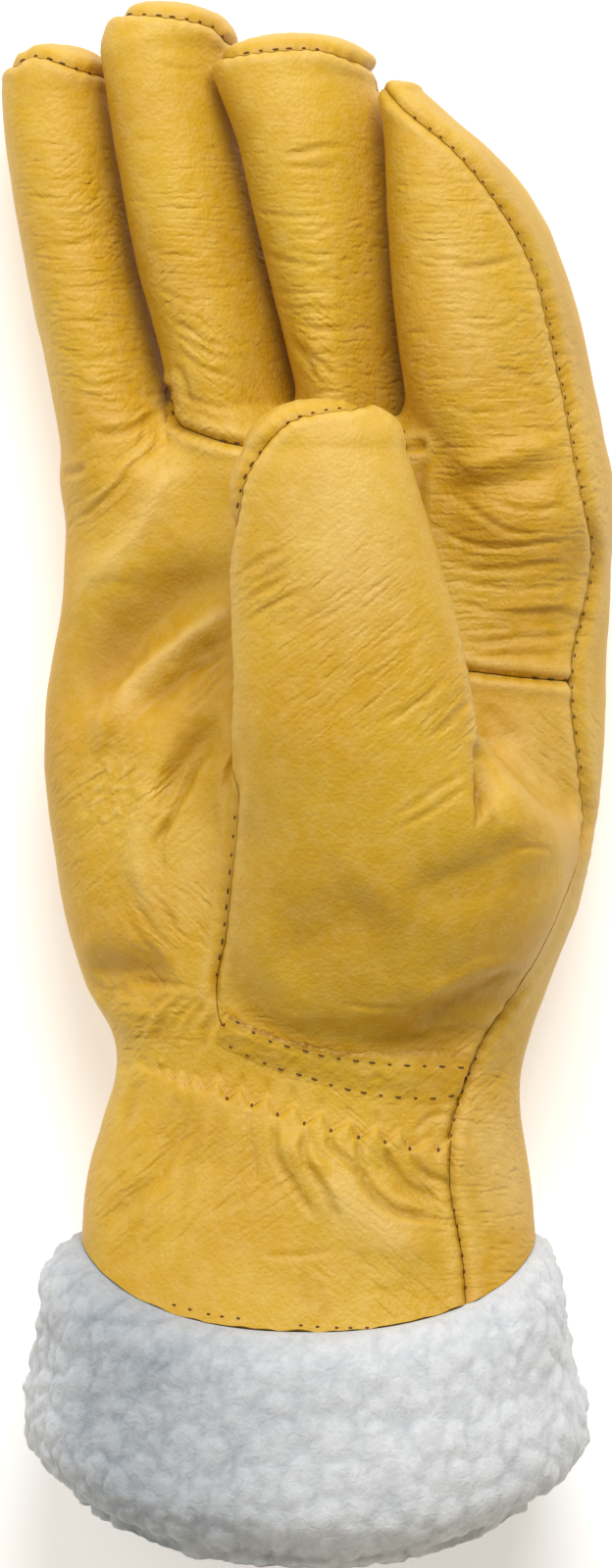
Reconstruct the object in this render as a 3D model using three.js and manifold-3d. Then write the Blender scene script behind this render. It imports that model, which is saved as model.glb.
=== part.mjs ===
// Insulated leather work glove for the right hand, lying on its back with the palm up.
// Millimetres. +Y points to the fingertips, +Z up from the palm, +X to the index finger side.
// The origin is under the middle of the glove, on the surface that it lies on.
//
// The glove is one hollow form: a hand with its cuff, four fingers and a thumb. The form is lofted
// through short tables of sections, thinned to a leather wall, and cut along the real seams into
// panels. A pile lining lies inside the cuff and turns out past the hem as a thick fleece band.
import * as THREE from "three";
import { mergeVertices } from "three/addons/utils/BufferGeometryUtils.js";
import Module from "manifold-3d";

const wasm = await Module();
wasm.setup();

// Driving dimensions
const LEATHER = 2.4; // wall of leather with its backing
const SEAM_GAP = 0.3; // between two panels that are sewn together
const FINGER_GAP = 0.7; // between two fingers that lie side by side
const HEM_Y = -85; // Y of the leather hem at the sides
const HEM_DROP = 18; // how much longer the palm side of the cuff is than its sides
const HEM_RISE = 6.3; // how much shorter the back of the cuff is
const HEM_CURVE = 1.4; // above 1, so that the slant of the hem eases off at the sides
const DROP_STARTS = -50; // Y at the wrist where the sections begin to slant
const ROOT = { length: 16, drawnIn: 4.5 }; // a finger's root narrows into the hand
const OVER_HEM = 6; // how far the hollow runs out past the hem, so that the cuff is open
const ROUNDNESS = 2.3; // exponent of the sections: 2 is an ellipse, more is boxier
const SMOOTHING = 0.06; // edges shorter than this are taken out of a cut solid
const REACH = 200; // past the glove every way, for the solids that only cut
const PAST_TIPS = 170; // Y past the fingertips
const PAST_MOUTH = -140; // Y past the mouth of the cuff

// Each row is one section across the hand. left and right are X, front and back are Z, and tilt
// raises the front on the index side, in millimetres per millimetre of X.
const HAND_SECTIONS = [
  { y: -85, left: -42.1, right: 43.1, front: 53, back: -1.5, tilt: 0.0 },
  { y: -73, left: -41.0, right: 41.8, front: 50, back: -0.5, tilt: 0.0 },
  { y: -63, left: -38.2, right: 40.6, front: 47.5, back: 1.5, tilt: 0.02 },
  { y: -54, left: -35.6, right: 40.4, front: 46, back: 3.0, tilt: 0.03 },
  { y: -47, left: -36.4, right: 42.2, front: 46.5, back: 2.0, tilt: 0.05 },
  { y: -38, left: -41.2, right: 45.3, front: 47, back: -0.5, tilt: 0.06 },
  { y: -22, left: -45.8, right: 51.3, front: 47, back: -2.5, tilt: 0.06 },
  { y: 0, left: -48.9, right: 55.2, front: 45.5, back: -3, tilt: 0.06 },
  { y: 16, left: -48.7, right: 56.3, front: 44, back: -3, tilt: 0.07 },
  { y: 33, left: -46, right: 57, front: 42, back: -2.5, tilt: 0.09 },
  { y: 48, left: -45.2, right: 57, front: 41, back: -1.5, tilt: 0.1 },
  { y: 60, left: -44.6, right: 56.3, front: 40, back: -0.5, tilt: 0.1 },
  { y: 69, left: -43, right: 54.6, front: 37.5, back: 2, tilt: 0.1 },
];

// The fingers and the thumb, each from its root inside the hand to its shoulder, with the tip's Y.
const FINGERS = {
  little: {
    tip: 139.1,
    rows: [
      { y: 42, left: -44.2, right: -22, front: 34.5, back: -0.5 },
      { y: 66, left: -46.6, right: -23.6, front: 34, back: -0.5 },
      { y: 81, left: -49.3, right: -26.6, front: 33.5, back: 0.5 },
      { y: 96, left: -52.6, right: -30.2, front: 33, back: 2 },
      { y: 110, left: -55, right: -32.6, front: 32.5, back: 3.5 },
      { y: 122, left: -56.6, right: -34.2, front: 32, back: 5 },
      { y: 130, left: -57.2, right: -35.4, front: 31, back: 6.5 },
    ],
  },
  ring: {
    tip: 146.9,
    rows: [
      { y: 44, left: -24.4, right: 2, front: 39, back: 0 },
      { y: 70, left: -25.4, right: 1.4, front: 39.5, back: 1 },
      { y: 81, left: -27.4, right: -0.2, front: 40, back: 2.5 },
      { y: 96, left: -31.5, right: -4.1, front: 40, back: 5 },
      { y: 110, left: -34.2, right: -7.4, front: 40, back: 7.5 },
      { y: 125, left: -36.8, right: -10.4, front: 39.5, back: 10 },
      { y: 137, left: -38.6, right: -12.6, front: 38, back: 12 },
    ],
  },
  middle: {
    tip: 140.6,
    rows: [
      { y: 44, left: -1.4, right: 22.6, front: 42, back: 0 },
      { y: 70, left: -1.5, right: 21, front: 43, back: 3 },
      { y: 81, left: -3.6, right: 18.6, front: 44, back: 5.5 },
      { y: 96, left: -7.2, right: 17, front: 45, back: 8.5 },
      { y: 110, left: -10.5, right: 16.2, front: 45.5, back: 11.5 },
      { y: 121, left: -13.2, right: 15.4, front: 45.5, back: 14 },
      { y: 132, left: -17.4, right: 13.2, front: 44, back: 17 },
    ],
  },
  index: {
    tip: 131.4,
    rows: [
      { y: 34, left: 24, right: 57, front: 45, back: -1.5 },
      { y: 60, left: 20.8, right: 56.4, front: 47.5, back: 1 },
      { y: 73, left: 18.6, right: 54.5, front: 48.5, back: 4 },
      { y: 88, left: 16.5, right: 51.3, front: 49.5, back: 8 },
      { y: 103, left: 15.3, right: 46, front: 50, back: 12.5 },
      { y: 112, left: 15, right: 40.8, front: 49.5, back: 16 },
      { y: 119, left: 14.8, right: 34.4, front: 48.5, back: 19.5 },
      { y: 125, left: 14.2, right: 27.8, front: 46.5, back: 23 },
    ],
  },
};
const THUMB = {
  tip: 70.8,
  rows: [
    { y: -52, left: -4, right: 30, front: 47, back: 22 },
    { y: -42, left: -12.5, right: 37, front: 54, back: 16 },
    { y: -32, left: -16.2, right: 44, front: 61, back: 13 },
    { y: -20, left: -16, right: 48.4, front: 66.5, back: 13 },
    { y: -8, left: -14.6, right: 47.6, front: 70, back: 20 },
    { y: 2, left: -13.8, right: 38, front: 72.5, back: 34 },
    { y: 10, left: -13.4, right: 32.6, front: 74, back: 44.5 },
    { y: 19, left: -13.2, right: 30.4, front: 75, back: 48 },
    { y: 33, left: -13.4, right: 26.8, front: 75.8, back: 49.8 },
    { y: 47, left: -13.9, right: 23, front: 76, back: 51.2 },
    { y: 57, left: -13.4, right: 20.2, front: 75.6, back: 52 },
    { y: 62, left: -11.4, right: 18.6, front: 74.6, back: 53 },
  ],
};

// Where two fingers meet, seen from the front: X of the line at each Y, at the Z named level. The
// cut leans, so that each finger lies a little over its neighbour on the little finger's side.
const CLEFT_LEAN = 0.28; // X per Z
const CLEFT_STEPS = 14;
const CLEFTS = {
  littleRing: {
    level: 24,
    rows: [
      { y: 73, x: -25.2 },
      { y: 88, x: -29.3 },
      { y: 103, x: -33.1 },
      { y: 125, x: -36.9 },
      { y: 150, x: -40.6 },
    ],
  },
  ringMiddle: {
    level: 30,
    rows: [
      { y: 71, x: -1.2 },
      { y: 85, x: -4.4 },
      { y: 101, x: -8.6 },
      { y: 120, x: -12.9 },
      { y: 135, x: -18.2 },
      { y: 150, x: -24 },
    ],
  },
  middleIndex: {
    level: 33,
    rows: [
      { y: 58, x: 21.2 },
      { y: 73, x: 18.4 },
      { y: 88, x: 16.3 },
      { y: 105, x: 15 },
      { y: 130, x: 13.8 },
      { y: 150, x: 13.4 },
    ],
  },
};

// Folds and dents of the front, each a groove from one point to another. bow bends it sideways.
const FOLDS = [
  { name: "palm valley", x0: -14, y0: 30, x1: -42, y1: -2, bow: 2, width: 7, depth: 4.2 },
  { name: "valley ridge", x0: -14, y0: 46, x1: -42, y1: 14, bow: 2, width: 6, depth: -2 },
  { name: "thumb side fold", x0: -15, y0: 12, x1: -29, y1: -14, bow: 3, width: 3.5, depth: 2.6 },
  { name: "heel dent", x0: -40, y0: -38, x1: -18, y1: -44, bow: 0, width: 5, depth: 2.4 },
  { name: "little finger fold", x0: -46, y0: 64, x1: -27, y1: 70, bow: -2, width: 3, depth: 1.8 },
  { name: "index root fold", x0: 34, y0: 13, x1: 52, y1: 2, bow: -2, width: 3.5, depth: 2.2 },
  { name: "cuff crease", x0: 16, y0: -62, x1: 20, y1: -84, bow: 1, width: 3.5, depth: 1.6 },
  { name: "left cuff crease", x0: -22, y0: -60, x1: -26, y1: -84, bow: 0, width: 4, depth: 1.4 },
];
const FOLD_FADE = { from: 12, to: 28 }; // folds fade out between these heights, at the sides

// Folds across the thumb and its root, in the same way
const THUMB_FOLDS = [
  { name: "crotch slit", x0: 33, y0: 7, x1: 32, y1: -9, bow: 0, width: 2.2, depth: 5 },
  { name: "crotch fold", x0: 22, y0: -14, x1: 44, y1: -8, bow: -2, width: 3.5, depth: 2.4 },
  { name: "root fold", x0: 16, y0: -28, x1: 44, y1: -20, bow: -2, width: 4, depth: 2.6 },
  { name: "heel fold", x0: 8, y0: -40, x1: 38, y1: -34, bow: -1, width: 3, depth: 1.6 },
  { name: "ball dent", x0: -6, y0: -34, x1: 12, y1: 2, bow: 1, width: 4, depth: 1 },
];

// The gathers of the elastic round the wrist, one pleat to every second side of the hand's sections
const GATHERS = 23;
const GATHER_Y = -59;
const GATHER_REACH = 8;
const GATHER_DEPTH = 0.6;

// Seams, as seen from the front
const SIDE_SEAM = [
  { x: 13, y: 134 },
  { x: 15.8, y: 128.1 },
  { x: 29, y: 117.2 },
  { x: 40.7, y: 101 },
  { x: 45.8, y: 85.4 },
  { x: 52, y: 53.5 },
  { x: 53.9, y: 41 },
  { x: 50, y: 20 },
  { x: 52, y: 0 },
  { x: 52.6, y: -9.8 },
  { x: 45.5, y: -29.4 },
  { x: 31.8, y: -51.5 },
  { x: 26.9, y: -70 },
  { x: 29.8, y: -92 },
  { x: 30.2, y: -120 },
];
const TIP_SEAMS = {
  little: [
    { x: -70, y: 134.6 },
    { x: -55.9, y: 135.2 },
    { x: -50.5, y: 137 },
    { x: -39.4, y: 133.6 },
    { x: -20, y: 131 },
  ],
  ring: [
    { x: -60, y: 144 },
    { x: -36, y: 144.6 },
    { x: -19, y: 142.9 },
    { x: -13.5, y: 139 },
    { x: 0, y: 132 },
  ],
  middle: [
    { x: -40, y: 134 },
    { x: -17, y: 136 },
    { x: -8, y: 137.2 },
    { x: 1.5, y: 137.6 },
    { x: 9.2, y: 135.4 },
    { x: 30, y: 128 },
  ],
};
const THUMB_TIP_SEAM = [
  { x: -13.4, y: 4 },
  { x: -13, y: 48 },
  { x: -11, y: 58 },
  { x: -4, y: 66.6 },
  { x: 3, y: 69.2 },
  { x: 9, y: 69 },
  { x: 17, y: 63 },
  { x: 24, y: 46 },
  { x: 31, y: 20 },
  { x: 33.4, y: 4 },
];
const THUMB_CROTCH = { x: 33, y: 10 };
const BALL_CORNER = { x: 60, y: -55 }; // past the side seam, at the foot of the thumb panel
const THENAR_SEAM = [
  { x: -13.2, y: 10 },
  { x: -15.6, y: -28 },
  { x: -17, y: -38 },
  { x: -15, y: -46 },
  { x: -8, y: -49.5 },
  { x: 0, y: -52 },
  { x: 14, y: -54.5 },
  { x: 31, y: -55 },
];
const RING_MIDDLE_BASE = [
  { x: -25.8, y: 74 },
  { x: -25.2, y: 69.4 },
  { x: -23, y: 66.6 },
  { x: -14, y: 63.6 },
  { x: 0, y: 62.6 },
  { x: 21.6, y: 63 },
];
const INDEX_BASE = [
  { x: 20.4, y: 64 },
  { x: 22.6, y: 45 },
  { x: 26.4, y: 32 },
  { x: 33, y: 20.6 },
  { x: 46, y: 19 },
  { x: 60, y: 20 },
];
const INDEX_BASE_TURN = 3; // row of INDEX_BASE where the thumb panel starts to share the seam
const SIDE_LEVEL = { level: 21, slopeX: 0.1, slopeY: 0 }; // front and back meet here at the sides
const THUMB_LEVEL = { level: 46, slopeX: 0, slopeY: 0.25 }; // front and back of the free thumb
const THUMB_AIR = { level: 45, slopeX: 0, slopeY: 0.06 }; // the air between the thumb and the palm
const THUMB_BACK = { left: -30, right: 36, from: 13, to: 75 };

// The stitched strip over the join between the thumb panel and the wrist
const STRIP = { thickness: 1.4, gap: 0.35, level: 20 };
const STRIP_TOP = [
  { x: -14.6, y: -43 },
  { x: -8, y: -46.4 },
  { x: 0, y: -48.8 },
  { x: 16, y: -49.8 },
  { x: 30.6, y: -50.4 },
];
const STRIP_BOTTOM = [
  { x: 28.6, y: -58.8 },
  { x: 18, y: -59.5 },
  { x: 6, y: -57.6 },
  { x: -6, y: -54 },
  { x: -16.5, y: -49.4 },
];

// The pile lining in the cuff, and the thick band of it past the hem
const LINING = { from: -98, to: -40, gap: 0.35, thickness: 4.2 };
const BAND_START = { y: -85.8, proud: 2.2 }; // the band's square end, a little clear of the hem
const BAND = [
  { y: -88, left: -47.4, right: 46.4, front: 58.7, back: -1.4 },
  { y: -92, left: -48.8, right: 47.6, front: 60.8, back: -1.8 },
  { y: -103, left: -50, right: 49, front: 62.5, back: -2.2 },
  { y: -110, left: -51.2, right: 50.6, front: 63.5, back: -2.2 },
  { y: -117, left: -52.2, right: 52, front: 64, back: -2 },
  { y: -123, left: -51.6, right: 52.4, front: 63.6, back: -1.4 },
  { y: -127, left: -49.4, right: 50.6, front: 61, back: 0.4 },
  { y: -129, left: -45.4, right: 46.2, front: 57, back: 4 },
];
const MOUTH = [
  { y: -92, left: -36.2, right: 36.4, front: 48, back: 7 },
  { y: -104, left: -38.4, right: 38.4, front: 50.4, back: 8.2 },
  { y: -118, left: -40.8, right: 40.8, front: 52.6, back: 8.4 },
  { y: -125, left: -42.6, right: 43, front: 54.4, back: 6.6 },
  { y: -134, left: -45, right: 45.4, front: 56.4, back: 5 },
];
const TUFTS = { around: 12, along: 0.5, height: 0.8 };

// Sides of a section and sections along each loft
const DETAIL = {
  hand: { sides: 2 * GATHERS, sections: 17 },
  handHollow: { sides: 28, sections: 15 },
  finger: { sides: 16, sections: 7 },
  fingerHollow: { sides: 12, sections: 5 },
  thumb: { sides: 22, sections: 13 },
  thumbHollow: { sides: 14, sections: 9 },
  mouth: { sides: 24, sections: 5 },
  band: { sides: 4 * TUFTS.around, sections: 9 },
};
const DOME = { steps: [0.35, 0.62, 0.84, 0.97], long: 2.4, across: 2.2 }; // exponents of a blunt tip

// One value from a table at y, along a smooth curve through its rows
function columnAt(rows, column, y) {
  const up = rows[0].y < rows[rows.length - 1].y;
  let i = 1;
  while (i < rows.length - 1 && (up ? rows[i].y < y : rows[i].y > y)) i += 1;
  const [a, b] = [rows[i - 1], rows[i]];
  const before = rows[Math.max(i - 2, 0)];
  const after = rows[Math.min(i + 1, rows.length - 1)];
  const span = b.y - a.y;
  const t = THREE.MathUtils.clamp((y - a.y) / span, 0, 1);
  const slope = (p, q) => (q[column] - p[column]) / (q.y - p.y);
  const startSlope = slope(before, b) * span;
  const endSlope = slope(a, after) * span;
  return (
    (2 * t ** 3 - 3 * t ** 2 + 1) * a[column] +
    (t ** 3 - 2 * t ** 2 + t) * startSlope +
    (3 * t ** 2 - 2 * t ** 3) * b[column] +
    (t ** 3 - t ** 2) * endSlope
  );
}

function sectionAt(rows, y) {
  const at = (column) => columnAt(rows, column, y);
  const tilt = "tilt" in rows[0] ? at("tilt") : 0;
  return { left: at("left"), right: at("right"), front: at("front"), back: at("back"), tilt };
}

// How far a point of the cuff is moved towards the mouth. rise is 1 at the front and -1 at the back.
function hemDrop(y, rise) {
  const t = THREE.MathUtils.smoothstep(-y, -DROP_STARTS, -HEM_Y);
  return rise > 0 ? HEM_DROP * t * rise ** HEM_CURVE : -HEM_RISE * t * (-rise) ** HEM_CURVE;
}

// Depth of all the folds of a table at a point of the front
function foldDepth(folds, x, y) {
  let depth = 0;
  for (const fold of folds) {
    const [dx, dy] = [fold.x1 - fold.x0, fold.y1 - fold.y0];
    const long = Math.hypot(dx, dy);
    const along = ((x - fold.x0) * dx + (y - fold.y0) * dy) / long ** 2;
    const across = ((x - fold.x0) * dy - (y - fold.y0) * dx) / long;
    const bent = across - fold.bow * 4 * along * (1 - along);
    const past = Math.max(0, -along, along - 1) * long;
    depth += fold.depth * Math.exp(-((bent / fold.width) ** 2) - (past / fold.width) ** 2);
  }
  return depth;
}

// One ring of points round a section. move says how a point is moved once it is placed.
function ring(section, y, sides, inset, move) {
  const { left, right, front, back, tilt } = section;
  const [middle, level] = [(left + right) / 2, (front + back) / 2];
  const [halfWidth, halfDepth] = [(right - left) / 2 - inset, (front - back) / 2 - inset];
  const power = 2 / ROUNDNESS;
  return Array.from({ length: sides }, (_, k) => {
    const turn = (2 * Math.PI * k) / sides;
    const [c, s] = [Math.cos(turn), Math.sin(turn)];
    const across = Math.sign(c) * Math.abs(c) ** power;
    const rise = Math.sign(s) * Math.abs(s) ** power;
    const x = middle + halfWidth * across;
    const z = level + halfDepth * rise + tilt * x * Math.max(0, rise);
    const point = new THREE.Vector3(x, y, z);
    move(point, turn, rise);
    return point;
  });
}

function centreOf(points) {
  return points.reduce((sum, p) => sum.add(p), new THREE.Vector3()).divideScalar(points.length);
}

// A closed skin over rings of points, with a fan of triangles over each end
function skin(rings) {
  const sides = rings[0].length;
  const lastRing = rings[rings.length - 1];
  const points = [...rings.flat(), centreOf(rings[0]), centreOf(lastRing)];
  const firstCentre = rings.length * sides;
  const faces = [];
  for (let k = 0; k < sides; k += 1) {
    const next = (k + 1) % sides;
    for (let r = 0; r < rings.length - 1; r += 1) {
      const [a, b] = [r * sides + k, r * sides + next];
      faces.push(a, a + sides, b, b, a + sides, b + sides);
    }
    const end = (rings.length - 1) * sides;
    faces.push(firstCentre, k, next, firstCentre + 1, end + next, end + k);
  }
  const geometry = new THREE.BufferGeometry().setFromPoints(points);
  geometry.setIndex(faces);
  return geometry;
}

// A closed geometry as a solid, turned right side out
function solid(geometry) {
  const bare = geometry.clone();
  bare.deleteAttribute("normal");
  bare.deleteAttribute("uv");
  const merged = mergeVertices(bare, 1e-4);
  const triVerts = new Uint32Array(merged.index.array);
  const vertProperties = merged.attributes.position.array;
  const made = new wasm.Manifold(new wasm.Mesh({ numProp: 3, vertProperties, triVerts }));
  if (made.volume() > 0) return made;
  for (let i = 0; i < triVerts.length; i += 3) {
    [triVerts[i + 1], triVerts[i + 2]] = [triVerts[i + 2], triVerts[i + 1]];
  }
  return new wasm.Manifold(new wasm.Mesh({ numProp: 3, vertProperties, triVerts }));
}

function evenly(from, to, count) {
  return Array.from({ length: count }, (_, i) => from + ((to - from) * i) / (count - 1));
}

const HAND_TOP = HAND_SECTIONS[HAND_SECTIONS.length - 1].y;
const HOLLOW_STATIONS = evenly(HEM_Y - OVER_HEM, HAND_TOP - LEATHER, DETAIL.handHollow.sections);

// How a point of the hand is moved: its folds, the gathers of the elastic, and the slant of the cuff
function moveHand(point, turn, rise, outside) {
  if (rise > 0) {
    const shown = THREE.MathUtils.smoothstep(point.z, FOLD_FADE.from, FOLD_FADE.to);
    point.z -= shown * foldDepth(FOLDS, point.x, point.y);
  }
  if (outside) {
    const near = Math.exp(-(((point.y - GATHER_Y) / GATHER_REACH) ** 2));
    const pleat = GATHER_DEPTH * near * Math.cos(GATHERS * turn);
    point.x += pleat * Math.cos(turn);
    point.z += pleat * Math.sin(turn);
  }
  point.y -= hemDrop(point.y, rise);
}

// The rings of the hand and its cuff at some stations in Y
function handRings(stations, sides, inset) {
  const move = (point, turn, rise) => moveHand(point, turn, rise, inset <= 0);
  return stations.map((y) =>
    ring(sectionAt(HAND_SECTIONS, Math.max(y, HEM_Y)), y, sides, inset, move),
  );
}

// The hand with its wrist and cuff. inset is 0 for the outside and the wall for the hollow. The
// outside ends square at the hem, by a smaller ring in the same slanted plane.
function hand(inset) {
  if (inset > 0) return solid(skin(handRings(HOLLOW_STATIONS, DETAIL.handHollow.sides, inset)));

  const { sides, sections } = DETAIL.hand;
  const squareEnd = handRings([HEM_Y], sides, 2 * LEATHER);
  return solid(skin([...squareEnd, ...handRings(evenly(HEM_Y, HAND_TOP, sections), sides, inset)]));
}

// A finger or the thumb. Its tip is a blunt dome past the last row.
function digit({ rows, tip }, inset, { sides, sections }, folds = []) {
  const shoulder = rows[rows.length - 1].y;
  const length = tip - inset - shoulder;
  const move = (point, turn, rise) => {
    if (rise > 0) point.z -= rise * foldDepth(folds, point.x, point.y);
  };
  const straight = evenly(rows[0].y, shoulder, sections).map((y) => {
    const root = 1 - THREE.MathUtils.smoothstep(y, rows[0].y, rows[0].y + ROOT.length);
    return ring(sectionAt(rows, y), y, sides, inset + ROOT.drawnIn * root, move);
  });
  const { left, right, front, back } = sectionAt(rows, shoulder);
  const [middle, level] = [(left + right) / 2, (front + back) / 2];
  const dome = DOME.steps.map((t) => {
    const keep = (1 - t ** DOME.long) ** (1 / DOME.across);
    const [halfWidth, halfDepth] = [(middle - left - inset) * keep, (front - level - inset) * keep];
    const smaller = {
      left: middle - halfWidth,
      right: middle + halfWidth,
      front: level + halfDepth,
      back: level - halfDepth,
      tilt: 0,
    };
    return ring(smaller, shoulder + length * t, sides, 0, move);
  });
  return solid(skin([...straight, ...dome]));
}

// The leaning space from one X to another, both measured from the line where two fingers meet
function besideCleft({ rows, level }, from, to, startY) {
  const [low, high] = [-REACH, REACH];
  const rings = evenly(startY, PAST_TIPS, CLEFT_STEPS).map((y) => {
    const line = columnAt(rows, "x", y);
    const corner = (z, offset) =>
      new THREE.Vector3(line - (z - level) * CLEFT_LEAN + offset, y, z);
    return [corner(low, to), corner(high, to), corner(high, from), corner(low, from)];
  });
  return solid(skin(rings));
}

// The thin leaning slab that parts two fingers, or the thicker one that keeps their hollows apart
function cleft(line, thickness) {
  return besideCleft(line, -thickness / 2, thickness / 2, line.rows[0].y - thickness / 2);
}

// An outline of { x, y } rows moved outwards by a distance, whichever way round its points go
function grow(outline, distance) {
  const area = THREE.ShapeUtils.area(outline);
  const outward = Math.sign(area) * distance;
  return outline.map(({ x, y }, i) => {
    const before = outline[(i + outline.length - 1) % outline.length];
    const after = outline[(i + 1) % outline.length];
    const [dx, dy] = [after.x - before.x, after.y - before.y];
    const long = Math.hypot(dx, dy);
    return { x: x + (outward * dy) / long, y: y - (outward * dx) / long };
  });
}

// The space over an outline in X and Y, from a level that may slope, grown by a margin every way
function over(outline, { level, slopeX, slopeY }, margin) {
  const shape = new THREE.Shape(grow(outline, margin).map(({ x, y }) => new THREE.Vector2(x, y)));
  const geometry = new THREE.ExtrudeGeometry(shape, { depth: REACH, bevelEnabled: false });
  const position = geometry.attributes.position;
  for (let i = 0; i < position.count; i += 1) {
    const floor = level + slopeX * position.getX(i) + slopeY * position.getY(i) - margin;
    position.setZ(i, position.getZ(i) + floor);
  }
  return solid(geometry);
}

// A seam's points made into a smooth line
function smooth(rows, steps = 2) {
  const curve = new THREE.SplineCurve(rows.map(({ x, y }) => new THREE.Vector2(x, y)));
  return curve.getPoints((rows.length - 1) * steps);
}

const flat = (level) => ({ level, slopeX: 0, slopeY: 0 });
const LOW = flat(-REACH / 2); // a level under the whole glove

// Everything above a height
function above(level) {
  const corners = [
    { x: -REACH, y: -REACH },
    { x: REACH, y: -REACH },
    { x: REACH, y: REACH },
    { x: -REACH, y: REACH },
  ];
  return over(corners, flat(level), 0);
}

// The hand, fingers and thumb as one closed form, inset by a wall
function gloveForm(inset) {
  const size = (outer, hollow) => DETAIL[inset > 0 ? hollow : outer];
  let made = hand(inset);
  for (const finger of Object.values(FINGERS)) {
    made = made.add(digit(finger, inset, size("finger", "fingerHollow")));
  }
  for (const line of Object.values(CLEFTS)) {
    made = made.subtract(cleft(line, FINGER_GAP + 2 * inset));
  }
  made = made.add(digit(THUMB, inset, size("thumb", "thumbHollow"), THUMB_FOLDS));
  return made.intersect(above(inset));
}

const TIPS_FROM = 90; // Y between the crotches and the tips
const FINGER_LEAN = 20;

// The front of the glove: left of the side seam, above the side level and below the tip seams
function frontRegion(margin) {
  const corners = [
    { x: -REACH, y: PAST_MOUTH },
    { x: -REACH, y: PAST_TIPS },
    { x: SIDE_SEAM[0].x, y: PAST_TIPS },
  ];
  let region = over([...smooth(SIDE_SEAM), ...corners], SIDE_LEVEL, margin);
  const { littleRing, ringMiddle, middleIndex } = CLEFTS;
  const rightOf = (line) => besideCleft(line, 0, REACH, TIPS_FROM);
  const leftOf = (line) => besideCleft(line, -REACH, 0, TIPS_FROM);
  const zones = {
    little: leftOf(littleRing),
    ring: rightOf(littleRing).intersect(leftOf(ringMiddle)),
    middle: rightOf(ringMiddle).intersect(leftOf(middleIndex)),
  };
  for (const [name, seam] of Object.entries(TIP_SEAMS)) {
    const line = smooth(seam);
    const above = [line[line.length - 1], line[0]].map(({ x }) => ({ x, y: PAST_TIPS }));
    const cap = [...line, ...above];
    region = region.subtract(over(cap, LOW, -margin).intersect(zones[name]));
  }
  return region;
}

// The thumb panel: the front of the thumb and its ball, out to the side seam and down to the wrist
function thumbRegion(margin) {
  const free = over(smooth(THUMB_TIP_SEAM), THUMB_LEVEL, margin);
  const upperEdge = [...INDEX_BASE.slice(INDEX_BASE_TURN).reverse(), THUMB_CROTCH];
  const ball = [...smooth(THENAR_SEAM), BALL_CORNER, ...upperEdge];
  return free.add(over(ball, SIDE_LEVEL, margin));
}

function thumbBackRegion(margin) {
  const { left, right, from, to } = THUMB_BACK;
  const corners = [
    { x: left, y: from },
    { x: right, y: from },
    { x: right, y: to },
    { x: left, y: to },
  ];
  return over(corners, THUMB_AIR, margin);
}

// The outline from a seam at the base of a finger up past its tip, wider than the finger leans
function upFrom(seam) {
  const line = smooth(seam);
  const [first, last] = [line[0], line[line.length - 1]];
  return [
    ...line,
    { x: last.x + FINGER_LEAN, y: PAST_TIPS },
    { x: first.x - 2 * FINGER_LEAN, y: PAST_TIPS },
    { x: first.x - 2 * FINGER_LEAN, y: first.y },
  ];
}

function ringMiddleRegion(margin) {
  return over(upFrom(RING_MIDDLE_BASE), LOW, margin)
    .intersect(besideCleft(CLEFTS.littleRing, -margin, REACH, 0))
    .intersect(besideCleft(CLEFTS.middleIndex, -REACH, margin, 0));
}

function indexRegion(margin) {
  return over(upFrom(INDEX_BASE), LOW, margin)
    .intersect(besideCleft(CLEFTS.middleIndex, -margin, REACH, 0));
}

function wristStrip() {
  const grown = (distance) =>
    hand(-distance).add(digit(THUMB, -distance, DETAIL.thumb, THUMB_FOLDS));
  const shell = grown(STRIP.gap + STRIP.thickness).subtract(grown(STRIP.gap));
  const outline = [...smooth(STRIP_TOP), ...smooth(STRIP_BOTTOM)];
  return shell.intersect(over(outline, flat(STRIP.level), 0));
}

// The lining tube in the cuff, joined to the thick band past the hem, with the hollow cut through
function fleeceCuff() {
  const slant = (point, turn, rise) => {
    point.y -= hemDrop(point.y, rise);
  };
  const tuft = (point, turn, rise) => {
    const wave = Math.cos(TUFTS.around * turn) * Math.cos(TUFTS.along * point.y);
    point.x += TUFTS.height * wave * Math.cos(turn);
    point.z += TUFTS.height * wave * Math.sin(turn);
    slant(point, turn, rise);
  };
  const tube = (inset, stations) =>
    solid(skin(handRings(stations, DETAIL.handHollow.sides, inset))).intersect(above(inset));
  const loft = (rows, { sides, sections }, move) =>
    evenly(rows[0].y, rows[rows.length - 1].y, sections).map((y) =>
      ring(sectionAt(rows, y), y, sides, 0, move),
    );
  const hem = sectionAt(HAND_SECTIONS, HEM_Y);
  const squareEnd = [LEATHER + LINING.thickness / 2, -BAND_START.proud].map((inset) =>
    ring(hem, BAND_START.y, DETAIL.band.sides, inset, slant),
  );
  const band = solid(skin([...squareEnd, ...loft(BAND, DETAIL.band, tuft)])).intersect(above(0));
  const inside = HOLLOW_STATIONS.filter((y) => y < LINING.to);
  const outer = LEATHER + LINING.gap;
  return tube(outer, [LINING.from, ...inside])
    .add(band)
    .subtract(tube(outer + LINING.thickness, [LINING.from, ...inside, LINING.to + OVER_HEM]))
    .subtract(solid(skin(loft(MOUTH, DETAIL.mouth, slant))));
}

// The panels, cut from the leather wall one after another
const wall = gloveForm(0).subtract(gloveForm(LEATHER));
const half = SEAM_GAP / 2;
const front = wall.intersect(frontRegion(-half));
const frontLessThumb = front.subtract(thumbRegion(half));
const frontLessBack = frontLessThumb.subtract(thumbBackRegion(half));

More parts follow.
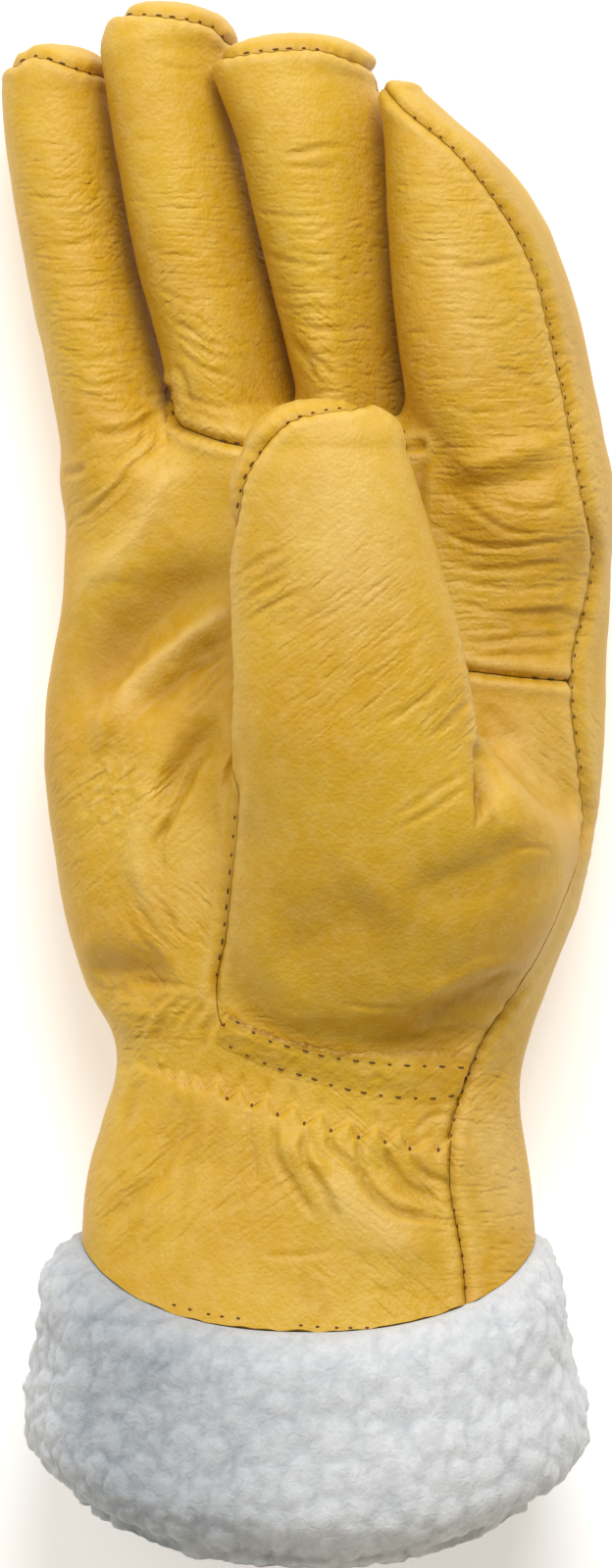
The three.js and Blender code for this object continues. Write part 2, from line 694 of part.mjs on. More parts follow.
const SOLIDS = {
  palm_panel: frontLessBack.subtract(ringMiddleRegion(half)).subtract(indexRegion(half)),
  ring_middle_front: frontLessBack.intersect(ringMiddleRegion(-half)),
  index_front: frontLessBack.intersect(indexRegion(-half)),
  thumb_front: front.intersect(thumbRegion(-half)),
  thumb_back: frontLessThumb.intersect(thumbBackRegion(-half)),
  back_panel: wall.subtract(frontRegion(half)),
  wrist_strip: wristStrip(),
  fleece_cuff: fleeceCuff(),
};

const grain = new THREE.MeshStandardMaterial({ color: "#d2a646", roughness: 0.55, metalness: 0 });
const split = new THREE.MeshStandardMaterial({ color: "#cba24a", roughness: 0.7, metalness: 0 });
const pile = new THREE.MeshStandardMaterial({ color: "#d4d7d8", roughness: 0.95, metalness: 0 });
const MATERIALS = {
  palm_panel: grain,
  ring_middle_front: grain,
  index_front: grain,
  thumb_front: grain,
  thumb_back: grain,
  back_panel: grain,
  wrist_strip: split,
  fleece_cuff: pile,
};

// The largest body of a solid, without the crumbs and the very short edges that a cut leaves
function tidy(made) {
  const bodies = made.asOriginal().simplify(SMOOTHING).decompose();
  return bodies.reduce((a, b) => (a.volume() > b.volume() ? a : b));
}

function meshOf(name, made) {
  const { vertProperties, triVerts, numProp } = made.getMesh();
  const count = vertProperties.length / numProp;
  const positions = new Float32Array(count * 3);
  for (let i = 0; i < count; i += 1) {
    positions.set(vertProperties.subarray(i * numProp, i * numProp + 3), i * 3);
  }
  const geometry = new THREE.BufferGeometry();
  geometry.setAttribute("position", new THREE.BufferAttribute(positions, 3));
  geometry.setIndex(new THREE.BufferAttribute(new Uint32Array(triVerts), 1));
  geometry.computeVertexNormals();
  const mesh = new THREE.Mesh(geometry, MATERIALS[name].clone());
  mesh.name = name;
  return mesh;
}

const glove = new THREE.Group();
for (const [name, made] of Object.entries(SOLIDS)) glove.add(meshOf(name, tidy(made)));

export default glove;
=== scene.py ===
import sys
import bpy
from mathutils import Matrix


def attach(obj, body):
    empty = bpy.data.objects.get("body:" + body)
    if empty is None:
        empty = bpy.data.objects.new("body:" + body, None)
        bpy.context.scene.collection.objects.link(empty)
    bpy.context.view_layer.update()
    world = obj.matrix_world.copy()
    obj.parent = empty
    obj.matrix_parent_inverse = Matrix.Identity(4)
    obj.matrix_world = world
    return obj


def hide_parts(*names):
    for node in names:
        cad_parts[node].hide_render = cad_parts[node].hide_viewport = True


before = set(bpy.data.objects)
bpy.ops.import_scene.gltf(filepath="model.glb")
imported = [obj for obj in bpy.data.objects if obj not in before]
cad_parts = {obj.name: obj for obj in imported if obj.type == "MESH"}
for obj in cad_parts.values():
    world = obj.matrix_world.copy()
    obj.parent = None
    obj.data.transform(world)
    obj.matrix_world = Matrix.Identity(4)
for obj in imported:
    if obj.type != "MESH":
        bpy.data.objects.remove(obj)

"""Insulated leather work glove for the right hand, lying on its back with the palm up.

Blender's units are metres. The tables of the glove's form are in millimetres, in the frame of the
solids: +Y to the fingertips, +Z up out of the palm, +X to the index finger's side.
"""
import logging
from dataclasses import dataclass, field
from enum import Enum

import bpy
import numpy as np
from mathutils import Vector, noise
from mathutils.bvhtree import BVHTree

LOG = logging.getLogger("glove")
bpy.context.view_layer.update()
MM = 0.001
PIXEL = 0.184  # millimetres for each pixel of the photograph
MIDDLE = (312.0, 800.0)  # the photograph's pixel that lies at X = 0 and Y = 0
FAR = 60.0  # a distance that stands for nowhere near
NEAR = 9.0  # how close to a part a point has to be for its distance to be worked out
FINE_WAYS = {"across": 0.0, "rise": 38.0, "fall": -42.0}  # degrees that the finest creases run at
Array = np.ndarray
Line = tuple[tuple[float, float], ...]
Place = tuple[Array, Array, Array]  # X, Y and Z of points


class Part(Enum):
    """The part of the glove that a crease lies on."""

    HAND = "hand"
    THUMB = "thumb"
    ALL = "all"


@dataclass(frozen=True)
class Crease:
    """One crease, or a roll where the depth is negative, that fades out towards its ends."""

    width: float
    depth: float
    part: Part
    lip: float  # height of the roll on each side, as a share of the depth
    fade: float  # share of the length over which each end fades out
    line: Array

    @classmethod
    def read(cls, row: str) -> "Crease":
        """Reads a row of a table.

        Args:
            row: the values above, a bar, and the line in the photograph's pixels.

        Returns:
            The crease.
        """
        values, pixels = row.split("|")
        width, depth, *rest = values.split()
        part, lip, fade = (*rest, *("all", "0.4", "0.3")[len(rest):])
        line = [traced(tuple(float(v) for v in pixel.split(","))) for pixel in pixels.split()]
        return cls(
            float(width), float(depth), Part(part), float(lip), float(fade), smooth_line(line, 1.0)
        )

    def beside(self, points: Array, reach: float) -> tuple[Array, Array, Array]:
        """How points lie beside the crease.

        Args:
            points: places on the glove.
            reach: distances are measured up to this.

        Returns:
            The distance, the side, and a window: 1 along the line, fading to 0 at its ends.
        """
        distance, side, along = beside(self.line, points[:, :2], reach)
        t = along / max(len(self.line) - 1, 1) / np.linalg.norm(self.line[1] - self.line[0])
        window = smoothstep(0, self.fade, t) * smoothstep(0, self.fade, 1 - t)
        return distance, side, window


class SectionTable:
    """The sections of a form along Y, with a smooth curve through each column."""

    COLUMNS = ("left", "right", "front", "back", "tilt")
    SAMPLES = 600

    def __init__(self, text: str) -> None:
        """Samples the curves finely, so that a lookup is a linear one.

        Args:
            text: a section a line: its Y, the columns in mm, and the tilt where it isn't 0.
        """
        rows = [[float(word) for word in line.split()] for line in text.split("\n") if line]
        ys, *columns = np.array(sorted(row + [0.0] * (6 - len(row)) for row in rows)).T
        self.low, self.high = ys[0], ys[-1]
        self.fine = np.linspace(self.low, self.high, self.SAMPLES)
        self.curves = {
            name: hermite(ys, column, self.fine) for name, column in zip(self.COLUMNS, columns)
        }

    def at(self, y: Array) -> tuple[Array, Array, Array, Array, Array]:
        """Returns left, right, front, back and tilt at each y."""
        return tuple(np.interp(y, self.fine, self.curves[name]) for name in self.COLUMNS)


def placed(name: str, data: bpy.types.ID) -> bpy.types.Object:
    """Links a new object to the scene.

    Args:
        name: its name.
        data: its mesh, light or camera.

    Returns:
        The object.
    """
    made = bpy.data.objects.new(name, data)
    bpy.context.scene.collection.objects.link(made)
    return made


def traced(pixel: tuple[float, float]) -> tuple[float, float]:
    """Turns a place traced in the photograph's pixels to X and Y."""
    return (pixel[0] - MIDDLE[0]) * PIXEL, (MIDDLE[1] - pixel[1]) * PIXEL


def hermite(xs: Array, values: Array, at: Array) -> Array:
    """A smooth curve through points.

    Args:
        xs: where the points are, rising.
        values: their values.
        at: where the curve is wanted.

    Returns:
        The curve's value at each place.
    """
    i = np.clip(np.searchsorted(xs, at, side="left"), 1, len(xs) - 1)
    before, after = np.maximum(i - 2, 0), np.minimum(i + 1, len(xs) - 1)
    span = xs[i] - xs[i - 1]
    t = np.clip((at - xs[i - 1]) / span, 0.0, 1.0)
    start = (values[i] - values[before]) / (xs[i] - xs[before]) * span
    end = (values[after] - values[i - 1]) / (xs[after] - xs[i - 1]) * span
    return (
        (2 * t**3 - 3 * t**2 + 1) * values[i - 1]
        + (t**3 - 2 * t**2 + t) * start
        + (3 * t**2 - 2 * t**3) * values[i]
        + (t**3 - t**2) * end
    )


def smoothstep(low: float, high: float, value: Array) -> Array:
    """Rises smoothly from 0 at low to 1 at high."""
    t = np.clip((value - low) / (high - low), 0.0, 1.0)
    return t * t * (3 - 2 * t)


def blend_min(a: Array, b: Array, reach: float) -> Array:
    """The lesser of two distances, rounded where they are within reach of each other."""
    mixed = np.maximum(reach - np.abs(a - b), 0.0) / reach
    return np.minimum(a, b) - mixed * mixed * reach / 4


def blend_max(a: Array, b: Array, reach: float) -> Array:
    """The greater of two distances, rounded where they are within reach of each other."""
    return -blend_min(-a, -b, reach)


HAND = SectionTable("""
-97 -42.4 43.6 55 -1.5
-85 -42.1 43.1 53 -1.5
-73 -41.0 41.8 50 -0.5
-63 -38.2 40.6 47.5 1.5 0.02
-54 -35.6 40.4 46 3.0 0.03
-47 -36.4 42.2 46.5 2.0 0.05
-38 -41.2 45.3 47 -0.5 0.06
-22 -45.8 51.3 47 -2.5 0.06
0 -48.9 55.2 45.5 -3 0.06
16 -48.7 56.3 44 -3 0.07
33 -46 57 42 -2.5 0.09
48 -45.2 57 41 -1.5 0.1
60 -44.6 56.3 40 -0.5 0.1
69 -43 54.6 37.5 2 0.1
""")
FINGERS = {
    "little": (139.1, SectionTable("""
42 -44.2 -22 34.5 -0.5
66 -46.6 -23.6 34 -0.5
81 -49.3 -26.6 33.5 0.5
96 -52.6 -30.2 33 2
110 -55 -32.6 32.5 3.5
122 -56.6 -34.2 32 5
130 -57.2 -35.4 31 6.5
""")),
    "ring": (146.9, SectionTable("""
44 -24.4 2 39 0
70 -25.4 1.4 39.5 1
81 -27.4 -0.2 40 2.5
96 -31.5 -4.1 40 5
110 -34.2 -7.4 40 7.5
125 -36.8 -10.4 39.5 10
137 -38.6 -12.6 38 12
""")),
    "middle": (140.6, SectionTable("""
44 -1.4 22.6 42 0
70 -1.5 21 43 3
81 -3.6 20.2 44 5.5
96 -7.2 19.6 45 8.5
110 -10.5 19 45.5 11.5
121 -13.2 17.8 45.5 14
132 -17.4 13.6 44 17
""")),
    "index": (131.3, SectionTable("""
34 24 57 45 -1.5
60 20.8 56.4 47.5 1
73 18.6 54.5 48.5 4
88 16.5 51.3 49.5 8
103 15.3 46 50 12.5
112 15 40.8 49.5 16
119 14.8 34.4 48.5 19.5
125 14.2 27.2 46.5 23
128 13.8 23.8 44.6 25.6
129.6 13.8 21.8 42.8 28
""")),
}
THUMB = (70.8, SectionTable("""
-52 -4 30 47 22
-42 -12.5 37 54 16
-32 -16.2 44 61 13
-20 -16 48.4 66.5 13
-8 -14.6 47.6 70 20
2 -13.8 38 72.5 34
10 -13.4 32.6 74 44.5
19 -13.2 30.4 75 48
33 -13.4 26.8 75.8 49.8
47 -13.9 23 76 51.2
57 -13.4 20.2 75.6 52
62 -11.4 18.6 74.6 53
"""))


@dataclass(frozen=True)
class Cleft:
    """The leaning slit between two fingers, which ends round at their crotch."""

    line: tuple[tuple[float, float, float], ...]  # Y, X and the height where it has that X

    def offset(self, at: Place) -> Array:
        """How far points lie to the right of the slit.

        Args:
            at: the points.

        Returns:
            One distance a point, negative on the left.
        """
        x, y, z = at
        ys, xs, zs = (np.array(column) for column in zip(*self.line))
        fine = np.linspace(ys[0], ys[-1], 200)
        curve = hermite(ys, xs, fine)
        middle, level = np.interp(y, fine, curve), np.interp(y, ys, zs)
        slope = np.interp(y, fine, np.gradient(curve, fine))
        lean = GloveForm.CLEFT_LEAN
        return (x - middle + (z - level) * lean) / np.sqrt(1 + lean**2 + slope**2)

    def above_crotch(self, y: Array) -> Array:
        """Returns how far each point lies past the crotch, towards the fingertips."""
        return y - self.line[0][0]


CLEFTS = {
    "little_ring": Cleft((
        (73, -25.2, 23.2), (88, -29.3, 25.5), (103, -33.1, 26.6), (125, -36.9, 28.1),
        (150, -40.6, 28),
    )),
    "ring_middle": Cleft((
        (71, -1.2, 25.1), (85, -4.4, 28.1), (101, -8.6, 30.5), (120, -12.9, 33.3),
        (134, -17.9, 34.6), (137, -17.4, 34.6), (140, -11, 34.6), (145, 0, 34.6), (150, 14, 34.6),
    )),
    "middle_index": Cleft((
        (58, 21.2, 23.7), (73, 18.4, 29.6), (88, 16.3, 32.7), (105, 15, 34.8), (130, 13, 35.5),
        (133, 14.4, 35.5), (138, 24, 35.5), (150, 50, 35.5),
    )),
}


@dataclass(frozen=True)
class Lie:
    """How a finger lies against its neighbours."""

    roll: float  # drop of its section for each millimetre to the right
    sag: float  # further drop at its right edge, mm
    clefts: tuple[tuple[str, float], ...]  # the slits beside it, with 1 where it is right of one


LIES = {
    "little": Lie(0.16, 3.0, (("little_ring", -1.0),)),
    "ring": Lie(0.26, 5.5, (("little_ring", 1.0), ("ring_middle", -1.0))),
    "middle": Lie(0.24, 5.0, (("ring_middle", 1.0), ("middle_index", -1.0))),
    "index": Lie(0.3, 1.0, (("middle_index", 1.0),)),
    "thumb": Lie(0.0, 0.0, ()),
}


@dataclass
class GloveForm:
    """The glove's outer form as a distance: negative inside the leather, 0 on its surface."""

    inset: float = 0.0  # 0 for the outside of the leather, its thickness for the inside

    ROUNDNESS = 2.3
    HAND_DOME = (56.0, 71.5)  # the Y where the hand rounds off under the fingers, and its end
    HEM_Y = -85.0
    HEM_DROP = 16.6
    HEM_RISE = 6.3
    DROP_STARTS = -50.0
    CLEFT_LEAN = 0.8
    CLEFT_GAP = 1.5
    CLEFT_OPENS = 0.8  # how much wider a finger is below its crotch, over the distance to it
    ROOT_BLEND = 5.0
    THUMB_BLEND = 4.5
    BALL_BLEND = 7.0
    BALL_X = (22, 32)  # the ball's blend grows between these
    BALL_FROM = (-24, -10)  # along Y it grows between these
    BALL_TO = (-14, -6)  # and fades out round the thumb's crotch, between these values of -Y
    EDGE_BLEND = 1.2
    OVERLAPPED_BLEND = 6.0  # rounds the side of a finger that its neighbour lies over
    ROLL_FROM, ROLL_TO = 50.0, 80.0  # the roll of a finger grows between these values of Y
    FLAT_BLEND = 3.0
    ROOT_DRAWN_IN = 4.5
    ROOT_LENGTH = 16  # how far up a finger its drawn-in root reaches
    REST_Z = 0.15
    PROBE = 0.05  # the step that slopes are measured over

    def slanted(self, at: Place) -> Array:
        """Undoes the slant of the cuff.

        Args:
            at: the points.

        Returns:
            The Y of the section that each point lies in.
        """
        x, y, z = at
        section = y.copy()
        for _ in range(4):  # each round comes closer to the section's own Y
            left, right, front, back, tilt = HAND.at(section)
            level, half = (front + back) / 2, (front - back) / 2
            rise = np.clip((z - level) / (half + tilt * x * (z > level)), -1.0, 1.0)
            t = smoothstep(-self.DROP_STARTS, -self.HEM_Y, -section)
            section = y + self.hem_drop(rise) * t
        return section

    def hem_drop(self, rise: Array) -> Array:
        """How much further down the hem lies than HEM_Y, in front or, below 0, behind."""
        return np.where(rise > 0, self.HEM_DROP, -self.HEM_RISE) * np.abs(rise) ** 1.4

    def loft(
        self,
        table: SectionTable,
        at: Place,
        dome: tuple[float, float],
        drawn_in: float = 0.0,
        lie: Lie = LIES["thumb"],
    ) -> Array:
        """Distance to a form lofted through a table.

        Args:
            table: the form's sections.
            at: the points, with the Y of the section that each lies in.
            dome: the Y where its rounded end starts, and the Y of its tip.
            drawn_in: how much the root is narrowed at the table's first section.
            lie: how its sections roll to the right.

        Returns:
            The distance, negative inside.
        """
        x, y, z = at
        n = self.ROUNDNESS
        left, right, front, back, tilt = table.at(y)
        level, half_depth = (front + back) / 2, (front - back) / 2
        half_width = (right - left) / 2
        if drawn_in:
            root = drawn_in * (1 - smoothstep(table.low, table.low + self.ROOT_LENGTH, y))
            half_width, half_depth = half_width - root, half_depth - root
        half_depth = half_depth + tilt * x * (z > level)
        aside = x - (left + right) / 2
        across = np.abs(aside) / half_width
        sunk = lie.roll * aside + lie.sag * (np.maximum(aside, 0) / half_width) ** 3
        up = np.abs(z - level + sunk * smoothstep(self.ROLL_FROM, self.ROLL_TO, y)) / half_depth
        radius = (across**n + up**n) ** (1 / n)
        radius = np.maximum(radius, 1e-3)
        slope_x = (across / radius) ** (n - 1) / half_width
        slope_z = (up / radius) ** (n - 1) / half_depth
        slope = np.hypot(slope_x, slope_z)
        start, tip = dome
        # powers of 2.2 and 2.4 make the tip a little fuller than a round one
        t = np.maximum(y - start, 0.0) / (tip - start)
        whole = np.maximum((radius**2.2 + t**2.4) ** (1 / 2.2), 1e-3)
        slope_y = (2.4 / 2.2) * t**1.4 * whole ** (-1.2) / (tip - start)
        slope = np.hypot(slope * (radius / whole) ** 1.2, slope_y)
        return (whole - 1) / np.maximum(slope, 1e-3)

    def digit(self, name: str, at: Place) -> Array:
        """Distance to one finger or the thumb, worked out only where a point can be near it.

        Args:
            name: which one.
            at: the points.

        Returns:
            The distance, negative inside.
        """
        x, y, z = at
        tip, table = THUMB if name == "thumb" else FINGERS[name]
        left, right, front, back, _ = (table.curves[column] for column in table.COLUMNS)
        near = (x > left.min() - NEAR) & (x < right.max() + NEAR)
        near &= (y > table.low - NEAR) & (y < tip + NEAR)
        near &= (z > back.min() - NEAR) & (z < front.max() + NEAR)
        made = np.full(len(x), FAR)
        x, y, z = x[near], y[near], z[near]
        lie = LIES[name]
        lofted = self.loft(table, (x, y, z), (table.high, tip), self.ROOT_DRAWN_IN, lie)
        for cleft_name, side in lie.clefts:
            cleft = CLEFTS[cleft_name]
            below = self.CLEFT_OPENS * np.maximum(-cleft.above_crotch(y), 0)
            cut = -side * cleft.offset((x, y, z)) - below
            lofted = blend_max(lofted, cut, self.OVERLAPPED_BLEND if side < 0 else self.EDGE_BLEND)
        made[near] = np.maximum(lofted, table.low - y)
        return made

    def body(self, at: Place) -> Array:
        """Distance to the hand and fingers, without the thumb.

        Args:
            at: the points.

        Returns:
            The distance, negative inside.
        """
        x, y, z = at
        hand = self.loft(HAND, (x, self.slanted(at), z), self.HAND_DOME)
        fingers = np.minimum.reduce([self.digit(name, at) for name in FINGERS])
        made = blend_min(hand, fingers, self.ROOT_BLEND)
        high = y > min(cleft.line[0][0] for cleft in CLEFTS.values()) - NEAR
        x, y, z = x[high], y[high], z[high]
        cut = made[high]
        for cleft in CLEFTS.values():
            away = np.abs(cleft.offset((x, y, z))) - self.CLEFT_GAP / 2
            cut = blend_max(cut, -np.maximum(away, -cleft.above_crotch(y)), self.EDGE_BLEND)
        made[high] = cut
        return made

    def distance(self, points: Array) -> Array:
        """Distance from points to the whole form, flattened where it rests.

        Args:
            points: X, Y and Z of each point.

        Returns:
            One distance a point, negative inside.
        """
        x, y, z = points.T
        thumb = self.digit("thumb", (x, y, z))
        made = blend_min(self.body((x, y, z)), thumb, self.thumb_blend(x, y))
        return blend_max(made, self.REST_Z - z, self.FLAT_BLEND) + self.inset

    def thumb_share(self, points: Array) -> Array:
        """Returns 1 on the thumb, 0 on the hand, and between them where they blend."""
        lead = self.body(points.T) - self.digit("thumb", points.T)
        return smoothstep(-self.THUMB_BLEND / 2, self.THUMB_BLEND / 2, lead)

    def thumb_blend(self, x: Array, y: Array) -> Array:
        """How softly the thumb runs into the hand: most at the ball, below its crotch."""
        ball = smoothstep(*self.BALL_FROM, y) * smoothstep(*self.BALL_TO, -y)
        return self.THUMB_BLEND + self.BALL_BLEND * smoothstep(*self.BALL_X, x) * ball

    def slopes(self, points: Array) -> tuple[Array, Array]:
        """The distance and its slope.

        Args:
            points: X, Y and Z of each point.

        Returns:
            The distance at each point, and its slope along X, Y and Z.
        """
        base = self.distance(points)
        sides = [self.distance(points + self.PROBE * unit) - base for unit in np.eye(3)]
        return base, np.stack(sides, axis=1) / self.PROBE


class SurfaceGrid:
    """A grid of points that the surface of a form is taken from."""

    BLOCK = 4

    def __init__(self, low: tuple[float, ...], high: tuple[float, ...], step: float) -> None:
        """Lays out the grid.

        Args:
            low: the grid's lowest corner.
            high: the corner that it reaches past.
            step: the spacing of its points.
        """
        self.step = step
        self.axes = []
        for a, b in zip(low, high):
            blocks = int(np.ceil((b - a) / step / self.BLOCK))
            self.axes.append(a + step * np.arange(blocks * self.BLOCK + 1))

    @staticmethod
    def corners(shape: tuple[int, ...]) -> list[tuple[slice, ...]]:
        """Returns what shifts an array of cells to each of a cell's eight corners."""
        return [tuple(slice(c, c + n) for c, n in zip(at, shape)) for at in np.ndindex(2, 2, 2)]

    def values(self, form: GloveForm) -> Array:
        """The form's distance at each grid point, worked out only near its surface.

        Args:
            form: the form.

        Returns:
            One value for each point of the grid.
        """
        coarse_axes = [axis[:: self.BLOCK] for axis in self.axes]
        places = np.stack(np.meshgrid(*coarse_axes, indexing="ij"), axis=-1)
        coarse = form.distance(places.reshape(-1, 3)).reshape(places.shape[:3])
        near = np.abs(coarse) < self.step * self.BLOCK * 1.5
        filled = coarse[:-1, :-1, :-1]
        cells = np.logical_or.reduce([near[corner] for corner in self.corners(filled.shape)])
        for axis in range(3):
            cells, filled = (np.repeat(part, self.BLOCK, axis=axis) for part in (cells, filled))
        wanted = np.zeros([len(axis) for axis in self.axes], bool)
        for corner in self.corners(cells.shape):
            wanted[corner] |= cells
        made = np.pad(filled, [(0, 1)] * 3, mode="edge")
        at = np.nonzero(wanted)
        made[at] = form.distance(np.stack([axis[i] for axis, i in zip(self.axes, at)], axis=1))
        return made

    def net(self, values: Array) -> tuple[Array, Array]:
        """A net of quads over the surface.

        Args:
            values: the distance at each grid point.

        Returns:
            The net's points and its quads, which face outwards.
        """
        inside = values < 0
        shape = tuple(n - 1 for n in values.shape)
        count = sum(inside[corner].astype(np.int8) for corner in self.corners(shape))
        cells = np.stack(np.nonzero((count > 0) & (count < 8)), axis=1)
        number = np.full(count.shape, -1, np.int64)
        number[tuple(cells.T)] = np.arange(len(cells))
        total = np.zeros((len(cells), 3))
        crossings = np.zeros(len(cells))
        corners = [np.array(corner) for corner in np.ndindex(2, 2, 2)]
        at = [values[tuple((cells + corner).T)] for corner in corners]
        for a, low in enumerate(corners):
            for b, high in enumerate(corners):
                if (high - low).sum() != 1 or (high - low).min() < 0:
                    continue
                crossed = (at[a] < 0) != (at[b] < 0)
                share = at[a][crossed] / (at[a][crossed] - at[b][crossed])
                total[crossed] += low + share[:, None] * (high - low)
                crossings[crossed] += 1
        origin = np.array([axis[0] for axis in self.axes])
        points = origin + self.step * (cells + total / crossings[:, None])
        return points, self.quads(inside, number)

    @staticmethod
    def quads(inside: Array, number: Array) -> Array:
        """The quads round each grid edge that crosses the surface.

        Args:
            inside: where the grid points lie inside the form.
            number: the number of the net's point in each cell.

        Returns:
            Four point numbers a quad.
        """
        made = []
        for axis in range(3):
            one, two = (np.eye(3, dtype=int)[(axis + turn) % 3] for turn in (1, 2))
            low = inside[tuple(slice(None, -1) if a == axis else slice(1, -1) for a in range(3))]
            high = inside[tuple(slice(1, None) if a == axis else slice(1, -1) for a in range(3))]
            edge = np.stack(np.nonzero(low != high), axis=1)
            outward = low[tuple(edge.T)]
            ring = [edge, edge + one, edge + one + two, edge + two]
            quad = np.stack([number[tuple(cell.T)] for cell in ring], axis=1)
            quad[~outward] = quad[~outward][:, ::-1]
            made.append(quad)
        return np.concatenate(made)


@dataclass
class Skin:
    """A surface with a normal at each point. A triangle is a quad whose last corner is -1."""

    points: Array
    normals: Array
    faces: Array

    def packed(self, faces: Array) -> "Skin":
        """Drops all faces but some, and the points that these don't use.

        Args:
            faces: the faces to keep.

        Returns:
            The skin of those faces.
        """
        used = np.unique(faces[faces >= 0])
        number = np.full(len(self.points) + 1, -1, np.int64)
        number[used] = np.arange(len(used))
        return Skin(self.points[used], self.normals[used], number[faces])

    def clipped(self, values: Array, snap: float) -> "Skin":
        """The skin where the values are positive, cut along the line where they are zero.

        Args:
            values: one value for each point, such as a distance to a seam.
            snap: values smaller than this count as zero, so that the cut leaves no slivers.

        Returns:
            The part that is kept.
        """
        values = np.where(np.abs(values) < snap, 0.0, values)
        corners = np.where(self.faces < 0, self.faces[:, :1], self.faces)
        kept = (values[corners] >= 0).all(axis=1)
        crossed = self.faces[(values[corners] > 0).any(axis=1) & ~kept]
        quads = crossed[crossed[:, 3] >= 0]
        halves = (crossed[crossed[:, 3] < 0, :3], quads[:, :3], quads[:, [0, 2, 3]])
        triangles = np.concatenate(halves)
        kinds = (values[triangles] >= 0).sum(axis=1)
        edges: list[Array] = []
        pieces: list[Array] = []
        count = len(self.points)
        whole = triangles[kinds == 3]
        for kept_corners in (1, 2):
            some = triangles[kinds == kept_corners]
            flags = values[some] >= 0
            lone = flags.argmax(axis=1) if kept_corners == 1 else (~flags).argmax(axis=1)
            a, b, c = (some[np.arange(len(some)), (lone + turn) % 3] for turn in range(3))
            start = count + sum(len(edge) for edge in edges)
            ab = start + np.arange(len(some))
            ac = ab + len(some)
            edges += [np.stack([a, b], axis=1), np.stack([a, c], axis=1)]
            if kept_corners == 1:
                pieces.append(np.stack([a, ab, ac], axis=1))
            else:
                pieces += [np.stack([ab, b, c], axis=1), np.stack([ab, c, ac], axis=1)]
        pairs = np.sort(np.concatenate(edges), axis=1)
        unique, where = np.unique(pairs, axis=0, return_inverse=True)
        a, b = unique.T
        share = (values[a] / (values[a] - values[b]))[:, None]
        both = np.concatenate([self.points, self.normals], axis=1)
        both = np.concatenate([both, both[a] * (1 - share) + both[b] * share])
        renumber = np.concatenate([np.arange(count), count + where.reshape(-1)])
        cut = renumber[np.concatenate(pieces)]
        cut = cut[(cut[:, 0] != cut[:, 1]) & (cut[:, 1] != cut[:, 2]) & (cut[:, 2] != cut[:, 0])]
        triangles = np.concatenate([whole, cut])
        triangles = np.concatenate([triangles, np.full((len(triangles), 1), -1)], axis=1)
        faces = np.concatenate([self.faces[kept], triangles])
        return Skin(both[:, :3], both[:, 3:], faces).packed(faces)

    def rim(self, thickness: float) -> "Skin":
        """The cut edge of the material, under the edges that only one face has.

        Args:
            thickness: how far down it reaches.

        Returns:
            The skin of the edge.
        """
        faces = self.faces
        quads, triangles = faces[faces[:, 3] >= 0], faces[faces[:, 3] < 0][:, :3]
        edges = np.concatenate(
            [quads[:, [i, (i + 1) % 4]] for i in range(4)]
            + [triangles[:, [i, (i + 1) % 3]] for i in range(3)]
        )
        key = np.sort(edges, axis=1) @ np.array([len(self.points), 1])
        _, first, count = np.unique(key, return_index=True, return_counts=True)
        edges = edges[first[count == 1]]
        a, b = edges[:, 0], edges[:, 1]
        down = self.points - self.normals * thickness
        points = np.concatenate([self.points[a], self.points[b], down[b], down[a]])
        corner = np.arange(len(edges))
        faces = np.stack([corner + turn * len(edges) for turn in (0, 3, 2, 1)], axis=1)
        return Skin(points, np.zeros_like(points), faces)

    def joined(self, other: "Skin") -> "Skin":
        """Puts another skin beside this one.

        Args:
            other: the other skin.

        Returns:
            Both as one.
        """
        moved = np.where(other.faces < 0, -1, other.faces + len(self.points))
        return Skin(
            np.concatenate([self.points, other.points]),
            np.concatenate([self.normals, other.normals]),
            np.concatenate([self.faces, moved]),
        )

    def turned(self) -> "Skin":
        """The skin facing the other way."""
        return Skin(self.points, -self.normals, self.faces[:, [2, 1, 0, 3]])

    def to_object(self, name: str, marks: dict[str, Array] | None = None) -> bpy.types.Object:
        """A Blender object of the skin, in metres.

        Args:
            name: the object's name.
            marks: values at the first points of the skin, kept as attributes for its material.

        Returns:
            The object, linked to the scene and shaded smooth.
        """
        sizes = np.where(self.faces[:, 3] < 0, 3, 4)
        loops = self.faces.reshape(-1)
        loops = loops[loops >= 0]
        mesh = bpy.data.meshes.new(name)
        mesh.vertices.add(len(self.points))
        mesh.vertices.foreach_set("co", (self.points * MM).reshape(-1).astype(np.float32))
        mesh.loops.add(len(loops))
        mesh.loops.foreach_set("vertex_index", loops.astype(np.int32))
        mesh.polygons.add(len(sizes))
        starts = np.concatenate([[0], np.cumsum(sizes)[:-1]])
        mesh.polygons.foreach_set("loop_start", starts.astype(np.int32))
        mesh.polygons.foreach_set("use_smooth", np.ones(len(sizes), bool))
        for key, values in (marks or {}).items():
            mark = mesh.attributes.new(key, "FLOAT", "POINT")
            padded = np.zeros(len(self.points), np.float32)
            padded[: len(values)] = values
            mark.data.foreach_set("value", padded)
        mesh.update(calc_edges=True)
        mesh.validate()
        return placed(name, mesh)


